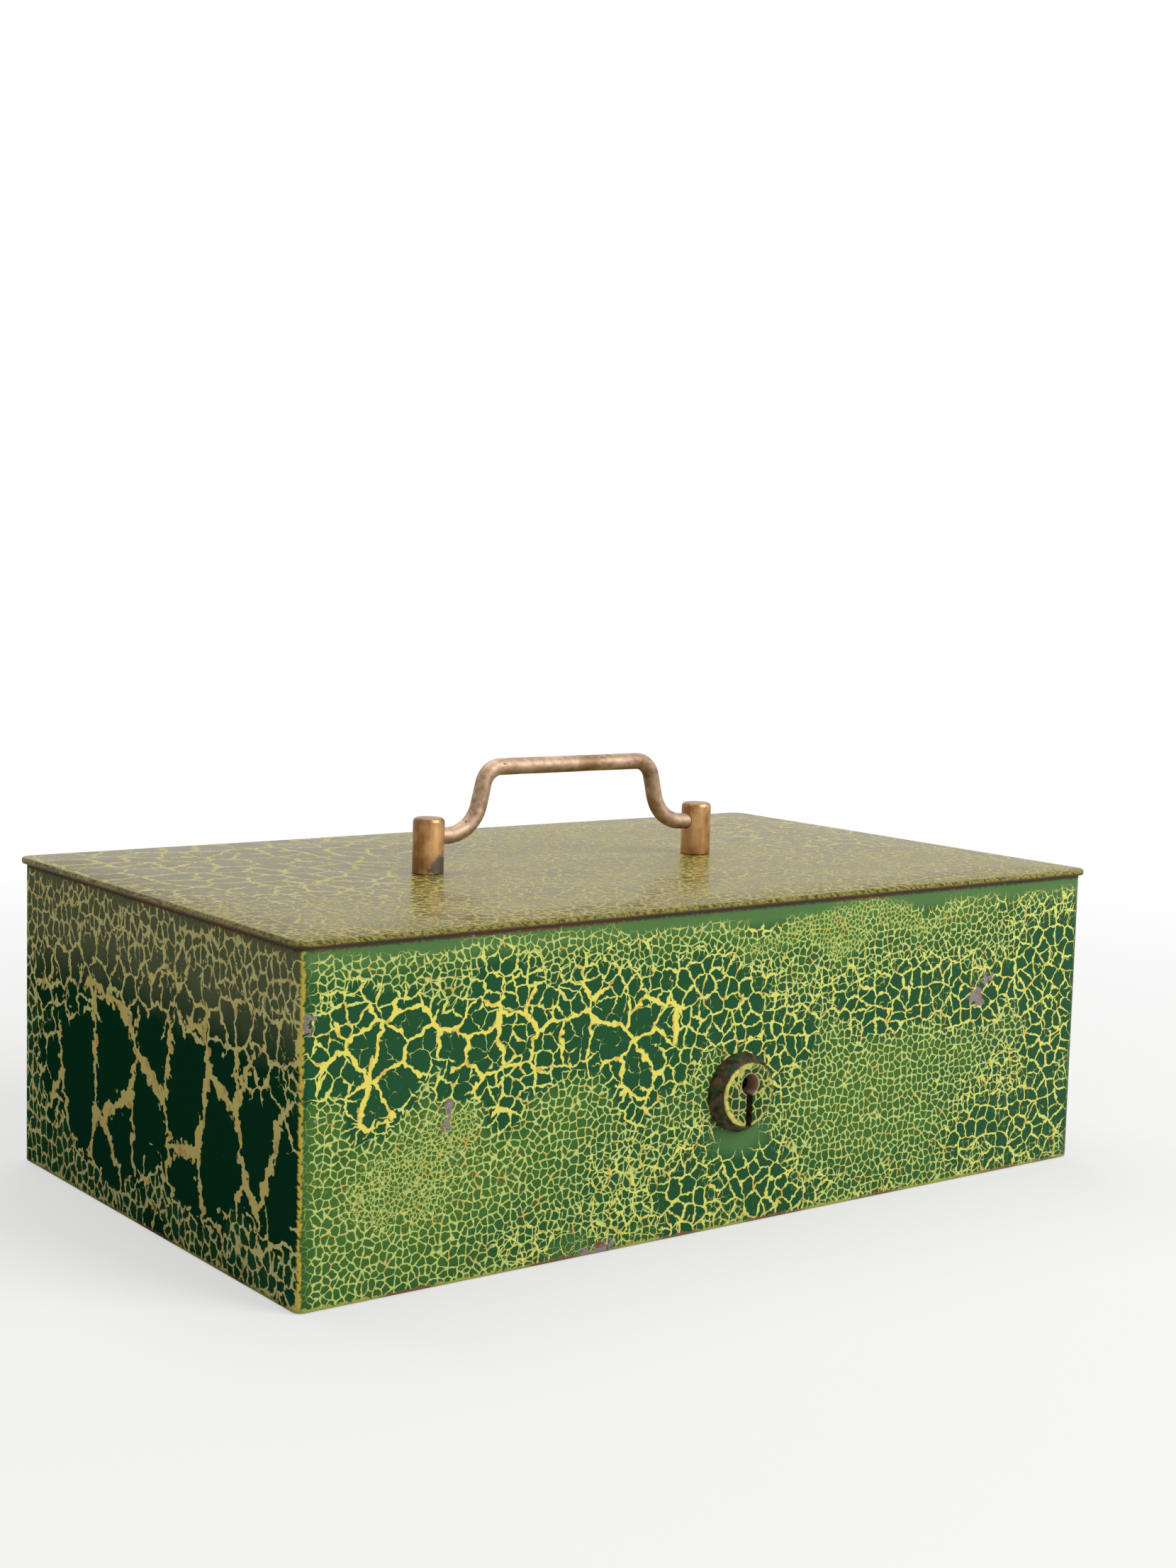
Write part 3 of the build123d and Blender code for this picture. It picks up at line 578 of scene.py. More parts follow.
@dataclass(frozen=True)
class AgedMetal:
    """Metal that was handled for decades: tool marks one way, oxide in clouds, rust in spots."""

    name: str
    bright: str
    dark: str
    stain: str
    roughness: float
    grain: Triple  # mm, length of the tool marks along each axis
    stained: float = 0.08  # roughly the share of the surface that is spotted
    tone: float = 9.0  # mm, size of the clouds
    metallic: float = 0.85  # below 1, because a thin oxide lies over it
    marked: float = 0.45  # share of the tool marks in its tones
    worn: tuple[Patch, ...] = ()
    worn_color: str = "7B7470"

    def material(self) -> Material:
        """Mix the metal and return it."""
        mix = Recipe(self.name)
        cloud = mix.add("TexNoise", {"Vector": mix.place, "Scale": 1 / self.tone, "Detail": 4.0})
        squeezed = mix.add("VectorMath", [mix.place, self.grain], operation="DIVIDE")
        marks = mix.add("TexNoise", {"Vector": squeezed, "Scale": 1.0, "Detail": 3.0})
        both = mix.add("Mix", {0: self.marked, 2: cloud, 3: marks}, data_type="FLOAT")
        tone = mix.add("MapRange", [both, 0.38, 0.62])
        color = mix.add("Mix", {0: tone, 6: srgb(self.dark), 7: srgb(self.bright)}, **COLORS)
        speck = mix.add("TexNoise", {"Vector": mix.place, "Scale": 1 / 2.2, "Detail": 4.0})
        spots = mix.add("MapRange", [speck, 0.72 - self.stained, 0.78 - self.stained])
        color = mix.add("Mix", {0: spots, 6: color, 7: srgb(self.stain)}, **COLORS)
        color = self.worn_down(mix, color, speck, cloud)
        rough = mix.add("Mix", {0: spots, 2: self.roughness, 3: 0.7}, data_type="FLOAT")
        metallic = mix.add("Mix", {0: spots, 2: self.metallic, 3: 0.3}, data_type="FLOAT")
        grooves = mix.add("Math", [marks, 0.02], operation="MULTIPLY")
        height = mix.add("Math", [spots, -0.03, grooves], operation="MULTIPLY_ADD")
        return mix.close({"Base Color": color, "Roughness": rough, "Metallic": metallic}, height)

    def worn_down(self, mix: Recipe, color: Socket, speck: Socket, cloud: Socket) -> Socket:
        """Wear the plating off in ragged patches.

        Args:
            mix: The material that it is part of.
            color: The metal so far.
            speck: Noise a couple of millimetres across.
            cloud: Noise about a centimetre across.

        Returns:
            The metal with the steel under it showing.
        """
        if not self.worn:
            return color
        ragged = mix.add("CombineXYZ", [speck, cloud, speck])
        place = mix.jogged(mix.place, ragged, (8, 8, 8))
        for patch in self.worn:
            color = mix.add("Mix", {0: patch.share(mix, place), 6: color, 7: srgb(self.worn_color)},
                            **COLORS)
        return color


@dataclass(frozen=True)
class CollarPaint:
    """Crackle enamel on a small turned boss: yellow net on green, rubbed off its edges to brown steel."""

    name: str = "worn_crackle_enamel_on_steel"
    centre: tuple[float, float] = (0.0, 41.0)  # mm across and up
    key: tuple[float, float] = (0.0, 44.2)
    face: float = 9.2  # mm, radius to where the face turns over
    front: float = -93.7  # mm, in front of which the face begins

    def ring(self, mix: Recipe, middle: tuple[float, float]) -> Socket:
        """Measure from an axis that runs from front to back.

        Args:
            mix: The material that it is part of.
            middle: Where the axis is, across and up.

        Returns:
            The distance in millimetres.
        """
        across = mix.add("CombineXYZ", {0: mix.axes[0], 2: mix.axes[2]})
        centre = (middle[0], 0.0, middle[1])
        return mix.add("VectorMath", [across, centre], out=1, operation="DISTANCE")

    def material(self) -> Material:
        """Mix the paint and return it."""
        mix = Recipe(self.name)
        noise = mix.add("TexNoise", {"Vector": mix.place, "Scale": 1 / 2.2, "Detail": 3.0}, out=1)
        grit, cloud, _ = mix.add("SeparateXYZ", [noise]).node.outputs
        bent = mix.jogged(mix.place, noise, (1.6, 1.6, 1.6))
        net = mix.add("TexVoronoi", {"Vector": bent, "Scale": 1 / 2.7}, feature="DISTANCE_TO_EDGE")
        line = mix.add("MapRange", [net, 0.10, 0.05])
        green = mix.add("Mix", {0: line, 6: srgb("1F4423"), 7: srgb("B6BA5E")}, **COLORS)
        # The turned side mottles between near-black brown and mid brown.
        dark_mottle = mix.add("MapRange", [grit, 0.4, 0.6])
        brown = mix.add("Mix", {0: dark_mottle, 6: srgb("2A2016"), 7: srgb("5C4A34")}, **COLORS)
        patchy = mix.add("MapRange", {0: cloud, 1: 0.50, 2: 0.58, 4: 0.7})
        side = mix.add("Mix", {0: patchy, 6: brown, 7: srgb("2A4A2C")}, **COLORS)

        depth = mix.add("Math", [grit, 0.7, mix.axes[1]], operation="MULTIPLY_ADD")
        on_face = mix.add("MapRange", [depth, self.front + 0.5, self.front + 0.2])
        color = mix.add("Mix", {0: on_face, 6: side, 7: green}, **COLORS)
        out = mix.add("Math", [grit, 1.6, self.ring(mix, self.centre)], operation="MULTIPLY_ADD")
        turned = mix.add("MapRange", [out, self.face - 0.3, self.face + 0.2])
        handled = mix.add("MapRange", [mix.axes[0], -5.0, 3.0, 1.0, 0.15])
        turned = mix.add("Math", [turned, handled], operation="MULTIPLY")
        edge = mix.add("Math", [turned, on_face], operation="MULTIPLY")
        color = mix.layer(color, edge, patchy, ("DAD46C", "B08A55"))
        from_key = mix.add("Math", [grit, 1.6, self.ring(mix, self.key)], operation="MULTIPLY_ADD")
        hole = mix.add("MapRange", [from_key, 4.6, 4.1])
        color = mix.add("Mix", {0: hole, 6: color, 7: srgb("B4987A")}, **COLORS)
        rough = mix.add("MapRange", {0: on_face, 3: 0.55, 4: 0.34})
        metallic = mix.add("Math", [hole, 0.4], operation="MULTIPLY")
        height = mix.add("Math", [line, -0.05, grit], operation="MULTIPLY_ADD")
        low = mix.add("Math", [height, 0.12], operation="MULTIPLY")
        return mix.close({"Base Color": color, "Roughness": rough, "Metallic": metallic,
                          "Specular IOR Level": 0.12}, low)


class Bench:
    """The few moves that all new pieces are made with."""

    @staticmethod
    def lone(piece: Piece) -> None:
        """Make one piece the only one that is selected."""
        if bpy.context.mode != "OBJECT":
            bpy.ops.object.mode_set(mode="OBJECT")
        bpy.ops.object.select_all(action="DESELECT")
        bpy.context.view_layer.objects.active = piece
        piece.select_set(True)

    @staticmethod
    def edit() -> None:
        """Go into edit mode on the active piece, with all of it selected."""
        bpy.ops.object.mode_set(mode="EDIT")
        bpy.ops.mesh.select_all(action="SELECT")

    @staticmethod
    def named(name: str) -> Piece:
        """Name the primitive that was just added, and put its place and size into its mesh."""
        piece = bpy.context.active_object
        piece.name = name
        bpy.ops.object.transform_apply(location=True, rotation=True, scale=True)
        return piece

    @staticmethod
    def pick_edges(piece: Piece, test: Callable[[Vector], bool]) -> None:
        """Select edges by the way they run, ready for an edit operator.

        Args:
            piece: What is being edited.
            test: Takes an edge's direction, a unit vector.
        """
        bpy.ops.object.mode_set(mode="EDIT")
        bpy.ops.mesh.select_mode(type="EDGE")
        bpy.ops.mesh.select_all(action="DESELECT")
        bpy.ops.object.mode_set(mode="OBJECT")
        for edge in piece.data.edges:
            start, end = (piece.data.vertices[i].co for i in edge.vertices)
            edge.select = test((end - start).normalized())
        bpy.ops.object.mode_set(mode="EDIT")

    @staticmethod
    def modify(piece: Piece, kind: str, **settings: object) -> None:
        """Put a modifier on a piece and apply it."""
        Bench.lone(piece)
        modifier = piece.modifiers.new(kind.lower(), kind)
        for name, setting in settings.items():
            setattr(modifier, name, setting)
        bpy.ops.object.modifier_apply(modifier=modifier.name)

    @staticmethod
    def cut(piece: Piece, cutter: Piece) -> None:
        """Cut one shape out of another and throw it away."""
        Bench.modify(piece, "BOOLEAN", object=cutter, operation="DIFFERENCE", solver="EXACT")
        bpy.data.objects.remove(cutter)

    @staticmethod
    def turn(name: str, foot: Vector, way: Vector, rings: list[tuple[float, float]], sides: int) -> Piece:
        """Turn a round piece, ring by ring, from a disc.

        Args:
            name: Of the piece.
            foot: Middle of the first ring, in metres.
            way: Unit vector along the piece's axis.
            rings: Distance along the axis and radius of each ring, in millimetres.
            sides: Of each ring.

        Returns:
            The closed piece, in object mode.
        """
        start, radius = rings[0]
        facing = way.to_track_quat("Z", "Y").to_euler()
        bpy.ops.mesh.primitive_circle_add(vertices=sides, radius=radius * MM, fill_type="NGON",
                                          location=foot + way * start * MM, rotation=facing)
        piece = Bench.named(name)
        Bench.edit()
        along = start
        for reach, next_radius in rings[1:]:
            shift = way * (reach - along) * MM
            bpy.ops.mesh.extrude_region_move(TRANSFORM_OT_translate={"value": shift})
            if next_radius != radius:
                ratio = next_radius / radius
                scale = tuple(1.0 if abs(axis) > 0.5 else ratio for axis in way)
                bpy.ops.transform.resize(value=scale, center_override=foot + way * reach * MM)
            along, radius = reach, next_radius
        bpy.ops.object.mode_set(mode="OBJECT")
        return piece

    @staticmethod
    def close(piece: Piece, node: str, materials: tuple[Material, ...], angle: float = 35.0) -> None:
        """Finish a piece: outward faces, smooth rounds, its finish, its body and what it stands for.

        Args:
            piece: The piece, whose faces already have their material numbers.
            node: The CAD node that it replaces.
            materials: Its finishes, in the order of those numbers.
            angle: Degrees, above which an edge stays sharp.
        """
        Bench.lone(piece)
        Bench.edit()
        bpy.ops.mesh.normals_make_consistent(inside=False)
        bpy.ops.object.mode_set(mode="OBJECT")
        bpy.ops.object.shade_smooth_by_angle(angle=radians(angle))
        slots = piece.data.materials
        while len(slots) < len(materials):
            slots.append(None)
        for number, material in enumerate(materials):
            slots[number] = material
        body = BODIES[node]
        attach(piece, body)
        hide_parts(node)
        bpy.ops.object.select_all(action="DESELECT")
        log.info("%s: %d faces, rides on %s", piece.name, len(piece.data.polygons), body)


def merged_copy(node: str, name: str) -> Piece:
    """Copy a CAD node and join its loose triangles.

    Args:
        node: The CAD node.
        name: Of the copy.

    Returns:
        The copy, in object mode.
    """
    source = frame["nodes"][node]
    piece = bpy.data.objects.new(name, source.data.copy())
    bpy.context.scene.collection.objects.link(piece)
    Bench.lone(piece)
    Bench.edit()
    bpy.ops.mesh.remove_doubles(threshold=2e-6)
    bpy.ops.mesh.customdata_custom_splitnormals_clear()
    bpy.ops.object.mode_set(mode="OBJECT")
    return piece


@dataclass
class Walls:
    """The folded walls: crackle enamel outside, plain enamel inside."""

    front: CrackleEnamel
    side: CrackleEnamel
    skin: float = 0.6  # mm, how near the outline a face counts as an outer one

    def build(self, inner: Material) -> None:
        """Make the walls from the folded strip.

        Args:
            inner: The finish of the faces that look inwards.
        """
        piece = merged_copy("body_wrap", "walls")
        half_width, half_depth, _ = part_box("body_wrap")[1]
        for face in piece.data.polygons:
            middle, normal = face.center, face.normal
            depth = min(half_width - abs(middle.x), half_depth - abs(middle.y))
            corner = abs(normal.x) > 0.1 and abs(normal.y) > 0.1 and middle.dot(normal) > 0
            outside = depth < self.skin * MM or corner
            face.material_index = int(abs(normal.x) > abs(normal.y)) if outside else 2
        Bench.close(piece, "body_wrap", (self.front.material(), self.side.material(), inner))


@dataclass
class LidPlate:
    """The flat lid, cut from sheet with rounded corners, not quite flat any more."""

    corner: float = 4.5  # mm
    arris: float = 0.6
    cuts: int = 18  # across the lid
    sag: float = 0.22  # mm

    def build(self, enamel: CrackleEnamel, under: Material) -> None:
        """Make the lid plate.

        Args:
            enamel: The finish of its top and rim.
            under: The finish of its underside.
        """
        low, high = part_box("lid_plate")
        bpy.ops.mesh.primitive_cube_add(size=1.0, location=(low + high) / 2, scale=high - low)
        piece = Bench.named("lid_sheet")
        Bench.pick_edges(piece, lambda way: abs(way.z) > 0.9)
        bpy.ops.mesh.bevel(offset=self.corner * MM, segments=8)
        Bench.pick_edges(piece, lambda way: abs(way.z) < 0.1)
        bpy.ops.mesh.bevel(offset=self.arris * MM, segments=3)
        for axis, count in ((0, self.cuts), (1, self.cuts // 2)):
            normal = Vector((axis == 0, axis == 1, 0))
            for i in range(1, count):
                bpy.ops.mesh.select_all(action="SELECT")
                cut = low + (high - low) * i / count
                bpy.ops.mesh.bisect(plane_co=cut, plane_no=normal)
        bpy.ops.object.mode_set(mode="OBJECT")
        waves = bpy.data.textures.new("sheet_waves", "CLOUDS")
        waves.noise_scale = 0.09
        Bench.modify(piece, "DISPLACE", texture=waves, direction="Z", strength=-self.sag * MM,
                     mid_level=0.0, texture_coords="GLOBAL")
        for face in piece.data.polygons:
            face.material_index = int(face.normal.z < -0.5)
        Bench.close(piece, "lid_plate", (enamel.material(), under))


@dataclass
class CarryHandle:
    """Two turned posts and the rod that folds in them."""

    post_radius: float = 5.0  # mm
    chamfer: float = 0.9
    rod_radius: float = 2.75
    socket_radius: float = 2.8
    socket_past: float = 2.0  # the blind hole ends this far past the post's axis
    pivot: float = 110.4  # height of the rod's axis
    straight: float = 55.0
    leg: float = 6.9
    upper_bend: float = 6.7
    lower_bend: float = 12.0
    turn: float = 76.67  # degrees, of each bend
    bend_steps: int = 12
    step: float = 3.5  # mm between rings along a run
    rod_chamfer: float = 0.4
    unevenness: float = 0.16  # mm, of the rod's skin

    def build(self, post_metal: Material, rod_metal: Material) -> None:
        """Make the posts and the rod."""
        for side, name in ((-1, "left"), (1, "right")):
            self.post(f"handle_post_{name}", side, post_metal)
        self.rod(rod_metal)

    def post(self, node: str, side: int, metal: Material) -> None:
        """Turn one post, with the spigot and the peened end that hold it in the lid.

        Args:
            node: The CAD node that it stands for.
            side: -1 for the left one and 1 for the right one.
            metal: Its finish.
        """
        low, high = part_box(node)
        foot = Vector(((low.x + high.x) / 2, 0, 0))
        base, top = low.z / MM, high.z / MM
        lid_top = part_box("lid_plate")[1].z / MM
        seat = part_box("handle_washer_left")[0].z / MM
        full = self.post_radius
        rings = [(base, 3.2), (base + 0.25, 4.0), (base + 0.7, 4.45), (seat - 0.02, 4.5),
                 (seat - 0.01, 3.0), (lid_top, 3.0), (lid_top, full - 0.15), (lid_top + 0.15, full),
                 (top - self.chamfer - 0.5, full), (top - self.chamfer, full - 0.08),
                 (top - 0.35, full - 0.42), (top - 0.08, full - 0.95), (top, full - 1.5), (top, 0.6)]
        piece = Bench.turn(node + "_turned", foot, Vector((0, 0, 1)), rings, 56)
        inner = foot.x + side * self.socket_past * MM
        mouth = foot.x - side * (full + 3) * MM
        bpy.ops.mesh.primitive_cylinder_add(vertices=48, radius=self.socket_radius * MM,
                                            depth=abs(mouth - inner), rotation=(0, pi / 2, 0),
                                            location=((mouth + inner) / 2, 0, self.pivot * MM))
        Bench.cut(piece, bpy.context.active_object)
        Bench.close(piece, node, (metal,), angle=28)

    def rod(self, metal: Material) -> None:
        """Bend the rod, run by run."""
        low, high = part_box("handle_bail")
        place = Vector((low.x, 0, self.pivot * MM))
        chamfer = self.rod_chamfer
        end_radius = self.rod_radius - chamfer
        bpy.ops.mesh.primitive_circle_add(vertices=28, radius=end_radius * MM, fill_type="NGON",
                                          location=place, rotation=(0, pi / 2, 0))
        piece = Bench.named("carry_rod")
        Bench.edit()
        rise = radians(self.turn)
        stub = (high.x - low.x) / 2 / MM - self.straight / 2 - self.leg * cos(rise)
        stub -= (self.upper_bend + self.lower_bend) * sin(rise)
        heading = 0.0
        place = self.run(place, heading, chamfer)
        wider = self.rod_radius / end_radius
        bpy.ops.transform.resize(value=(1, wider, wider), center_override=place)
        moves = ((stub - chamfer, 1, self.lower_bend), (self.leg, -1, self.upper_bend),
                 (self.straight, -1, self.upper_bend), (self.leg, 1, self.lower_bend))
        for length, way, radius in moves:
            for _ in range(count := max(1, round(length / self.step))):
                place = self.run(place, heading, length / count)
            centre = place + Vector((-sin(heading), 0, cos(heading))) * way * radius * MM
            bpy.ops.mesh.spin(steps=self.bend_steps, angle=rise, center=centre, axis=(0, way, 0))
            turned = Quaternion((0, -way, 0), rise)
            place = centre + turned @ (place - centre)
            heading += way * rise
        for _ in range(count := 3):
            place = self.run(place, heading, (stub - chamfer) / count)
        place = self.run(place, heading, chamfer)
        bpy.ops.transform.resize(value=(1, 1 / wider, 1 / wider), center_override=place)
        bpy.ops.object.mode_set(mode="OBJECT")
        grain = bpy.data.textures.new("rod_unevenness", "CLOUDS")
        grain.noise_scale = 0.006
        Bench.modify(piece, "DISPLACE", texture=grain, strength=self.unevenness * MM, mid_level=1.0,
                     texture_coords="GLOBAL")
        Bench.close(piece, "handle_bail", (metal,), angle=50)

    @staticmethod
    def run(place: Vector, heading: float, length: float) -> Vector:
        """Draw the rod out straight.

        Args:
            place: Where its end is, in metres.
            heading: Its way up from level, in radians.
            length: How far, in millimetres.

        Returns:
            Where its end is then.
        """
        shift = Vector((cos(heading), 0, sin(heading))) * length * MM
        bpy.ops.mesh.extrude_region_move(TRANSFORM_OT_translate={"value": shift})
        return place + shift


@dataclass
class KeyholeCollar:
    """The turned boss that keeps the key off the paint."""

    radius: float = 12.0  # mm
    face_radius: float = 9.6
    rim: float = 1.5
    key_round: float = 3.2
    slot_width: float = 2.4
    slot_drop: float = 12.9
    key_height: float = 44.2

    def build(self, paint: Material) -> None:
        """Turn the collar and cut its keyhole."""
        low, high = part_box("lock_collar")
        foot = Vector((0, high.y, (low.z + high.z) / 2))
        proud = (high.y - low.y) / MM
        face = self.face_radius
        rings = [(0, self.radius), (self.rim - 0.25, self.radius), (self.rim, self.radius - 0.15),
                 (proud - 0.75, face + 0.45), (proud - 0.35, face + 0.05), (proud - 0.1, face - 0.3),
                 (proud, face - 0.75), (proud, 1.0)]
        piece = Bench.turn("key_collar", foot, Vector((0, -1, 0)), rings, 72)
        through = Vector((0, high.y - proud / 2 * MM, self.key_height * MM))
        reach = 3 * proud * MM
        bpy.ops.mesh.primitive_cylinder_add(vertices=56, radius=self.key_round * MM, depth=reach,
                                            rotation=(pi / 2, 0, 0), location=through)
        Bench.cut(piece, bpy.context.active_object)
        drop = Vector((0, 0, self.slot_drop / 2 * MM))
        bpy.ops.mesh.primitive_cube_add(size=1.0, location=through - drop,
                                        scale=(self.slot_width * MM, reach, self.slot_drop * MM))
        Bench.cut(piece, bpy.context.active_object)
        Bench.modify(piece, "BEVEL", width=0.28 * MM, segments=3, limit_method="ANGLE",
                     angle_limit=radians(50))
        Bench.close(piece, "lock_collar", (paint,), angle=40)


@dataclass
class SmoothedFittings:
    """Round fittings whose CAD shape is right and only needs its rounds shaded smooth."""

    nodes: tuple[str, ...]

    def build(self, finishes: dict[str, Material]) -> None:
        """Copy each fitting, merged and smooth.

        Args:
            finishes: The finish of each material slot.
        """
        for node in self.nodes:
            Bench.close(merged_copy(node, node + "_smooth"), node, (finishes[SLOTS[node]],), angle=30)


@dataclass
class LeverSprings:
    """Spring strips on the levers, which bend flat under the top of the case as the levers rise."""

    foot: float = 66.7  # mm, height of the levers' top edge, where each strip is fixed
    flattest: float = 0.28  # share of its rise that a strip keeps when the bolt is thrown

    def build(self, metal: Material) -> None:
        """Copy each strip, merged and smooth, with a mesh of its own."""
        for node, body in BODIES.items():
            if node.startswith("lever_spring"):
                strip = merged_copy(node, node + "_strip")
                Bench.close(strip, node, (metal,), angle=30)
                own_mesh(strip)


@dataclass
class Studio:
    """Pale floor, soft lamps and the camera that took the picture."""

    lens: float = 51.04  # mm, on a sensor 36 mm along the frame's long side
    camera_place: Triple = (-0.4309, -0.5807, 0.1978)
    azimuth: float = -37.06  # degrees
    pitch: float = 5.75
    roll: float = 1.54
    ambient: float = 0.25
    floor_size: float = 24.0  # m
    floor_drop: float = 0.0002  # m, below the box, so that the two don't flicker
    grey_to: float = 200.0  # mm from the middle, as far as the floor shows most of the shadow
    white_from: float = 800.0
    whitened: float = 0.55  # share of white in the floor at the box
    lamps: tuple[tuple[str, Triple, float, float], ...] = (
        ("key_lamp", (0.75, -1.5, 1.15), 1.1, 26.0),
        ("top_fill", (0.0, 0.6, 1.8), 1.4, 14.0),
    )

    def build(self) -> None:
        """Set the stage."""
        self.camera()
        self.world()
        self.floor()
        for name, place, size, power in self.lamps:
            self.lamp(name, place, size, power)
        bpy.context.scene.view_settings.view_transform = "Standard"

    def camera(self) -> None:
        """Place the camera where the box's corners say that it stood."""
        data = bpy.data.cameras.new("camera")
        data.lens = self.lens
        data.sensor_width = 36.0
        data.clip_start, data.clip_end = 0.01, 100.0
        camera = bpy.data.objects.new("camera", data)
        bpy.context.scene.collection.objects.link(camera)
        azimuth, pitch = radians(self.azimuth), radians(self.pitch)
        back = Vector((sin(azimuth) * cos(pitch), -cos(azimuth) * cos(pitch), sin(pitch)))
        camera.location = self.camera_place
        camera.rotation_mode = "QUATERNION"
        level = (-back).to_track_quat("-Z", "Y")
        camera.rotation_quaternion = level @ Quaternion((0, 0, 1), radians(self.roll))
        bpy.context.scene.camera = camera

    def world(self) -> None:
        """Even light from all round, with a white background for the eye and for gloss."""
        world = bpy.data.worlds.new("white_surround")
        world.use_nodes = True
        tree = world.node_tree
        strength = add_node(tree, "MapRange", {0: self.seen(tree), 3: self.ambient, 4: 1.0})
        background = tree.nodes["Background"]
        background.inputs[0].default_value = (1, 1, 1, 1)
        tree.links.new(strength, background.inputs[1])
        bpy.context.scene.world = world

    @staticmethod
    def seen(tree: bpy.types.NodeTree) -> Socket:
        """Find the rays that see the white background: the eye's, and those of gloss and glass."""
        ray = add_node(tree, "LightPath").node.outputs
        seen = ray["Is Camera Ray"]
        for name in ("Is Glossy Ray", "Is Transmission Ray"):
            seen = add_node(tree, "Math", [seen, ray[name]], operation="MAXIMUM")
        return seen

    def floor(self) -> None:
        """Pale floor that turns into the white background away from the box."""
        bpy.ops.mesh.primitive_plane_add(size=self.floor_size, location=(0, 0, -self.floor_drop))
        floor = bpy.context.active_object
        floor.name = "floor"
        mix = Recipe("matt_pale_board")
        distance = mix.add("VectorMath", [mix.place], out=1, operation="LENGTH")
        away = mix.add("MapRange", [distance, self.grey_to, self.white_from, self.whitened, 1.0], **EASED)
        board = mix.add("BsdfDiffuse", [srgb("F0F0EE")])
        glow = mix.add("Emission", [(1, 1, 1, 1), 1.0])
        share = mix.add("Math", [away, self.seen(mix.material.node_tree)], operation="MULTIPLY")
        both = mix.add("MixShader", [share, board, glow])
        mix.add("OutputMaterial", [both])
        floor.data.materials.append(mix.material)

    @staticmethod
    def lamp(name: str, place: Triple, size: float, power: float) -> None:
        """Hang one soft square lamp that faces the box.

        Args:
            name: Of the lamp.
            place: In metres.
            size: Of its side, in metres.
            power: In watts.
        """
        data = bpy.data.lights.new(name, "AREA")
        data.size = size
        data.energy = power
        lamp = bpy.data.objects.new(name, data)
        bpy.context.scene.collection.objects.link(lamp)
        lamp.location = place
        aim = Vector((0, 0, 0.05)) - Vector(place)
        lamp.rotation_euler = aim.to_track_quat("-Z", "Y").to_euler()


WALL_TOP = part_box("body_wrap")[1] / MM
LID_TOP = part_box("lid_plate")[1] / MM
FRONT_Y = -WALL_TOP.y

FRONT_ENAMEL = CrackleEnamel(
    name="crackle_enamel_front",
    sheet=Sheet.FRONT,
    edges=WallEdges(*WALL_TOP),
    networks=(
        Network(1.5, 0.22, "B8C468", (0.0, -0.25), (0.0, -0.25), 1.0, broken=1.2, jog_wide=0.4,
                jog_tight=0.3, by_tight=1.0),
        Network(2.5, 0.255, "C8D278", (-0.5, -0.1), (0.42, 0.72), broken=1.4, jog_wide=0.7,
                jog_tight=0.32, by_tight=0.7, fullest=1.05, disorder=0.86),
        Network(4.8, 0.40, "DFDE72", (0.22, 0.50), (0.90, 1.20), 0.45, broken=2.3, jog_wide=1.4,
                jog_tight=0.4, by_tight=0.3, webbed=False),
        Network(10.5, 0.72, "EDDF66", (0.58, 0.98), (2.0, 3.0), 1.0, broken=1.4, jog_wide=1.9,
                jog_tight=0.4, webbed=False),
    ),
    size=0.42,
    patches=(
        Patch((-128, FRONT_Y, 64), (32, 60, 16), 0.50),
        Patch((-78, FRONT_Y, 67), (50, 60, 17), 0.55),
        Patch((-20, FRONT_Y, 62), (42, 60, 17), 0.34),
        Patch((62, FRONT_Y, 62), (50, 60, 9), 0.28),
        Patch((20, FRONT_Y, 63), (16, 60, 8), -0.22),
        Patch((136, FRONT_Y, 56), (22, 60, 26), 0.34),
        Patch((-5, FRONT_Y, 18), (40, 60, 16), 0.22),
        Patch((120, FRONT_Y, 14), (34, 60, 14), 0.20),
        Patch((-122, FRONT_Y, 33), (44, 60, 19), -0.58),
        Patch((-125, FRONT_Y, 8), (34, 60, 10), -0.20),
        Patch((-56, FRONT_Y, 30), (42, 60, 15), -0.12),
        Patch((54, FRONT_Y, 32), (40, 60, 19), -0.36),
        Patch((42, FRONT_Y, 89), (58, 60, 8), -0.80),
        Patch((-90, FRONT_Y, 88), (60, 60, 6), -0.12),
        Patch((60, -FRONT_Y, 60), (70, 60, 26), 0.50),
        Patch((-90, -FRONT_Y, 30), (60, 60, 30), -0.25),
    ),
    chips=(
        Patch((-104, FRONT_Y, 47), (1.2, 6, 5.5), soft=0.12),
        Patch((101, FRONT_Y, 60.5), (3.0, 6, 3.4), soft=0.12),
        Patch((106, FRONT_Y, 65), (3.4, 6, 1.2), soft=0.12),
        Patch((-147.5, FRONT_Y, 77), (1.1, 6, 2.2), soft=0.12),
        Patch((-52, FRONT_Y, 1), (6, 6, 1.6), soft=0.12),
    ),
    rubbed=(
        Patch((1, FRONT_Y, 27), (11, 60, 5), 1.0, 0.6),
        Patch((-62, FRONT_Y, 3), (9, 60, 4), 0.5, 0.5),
    ),
)

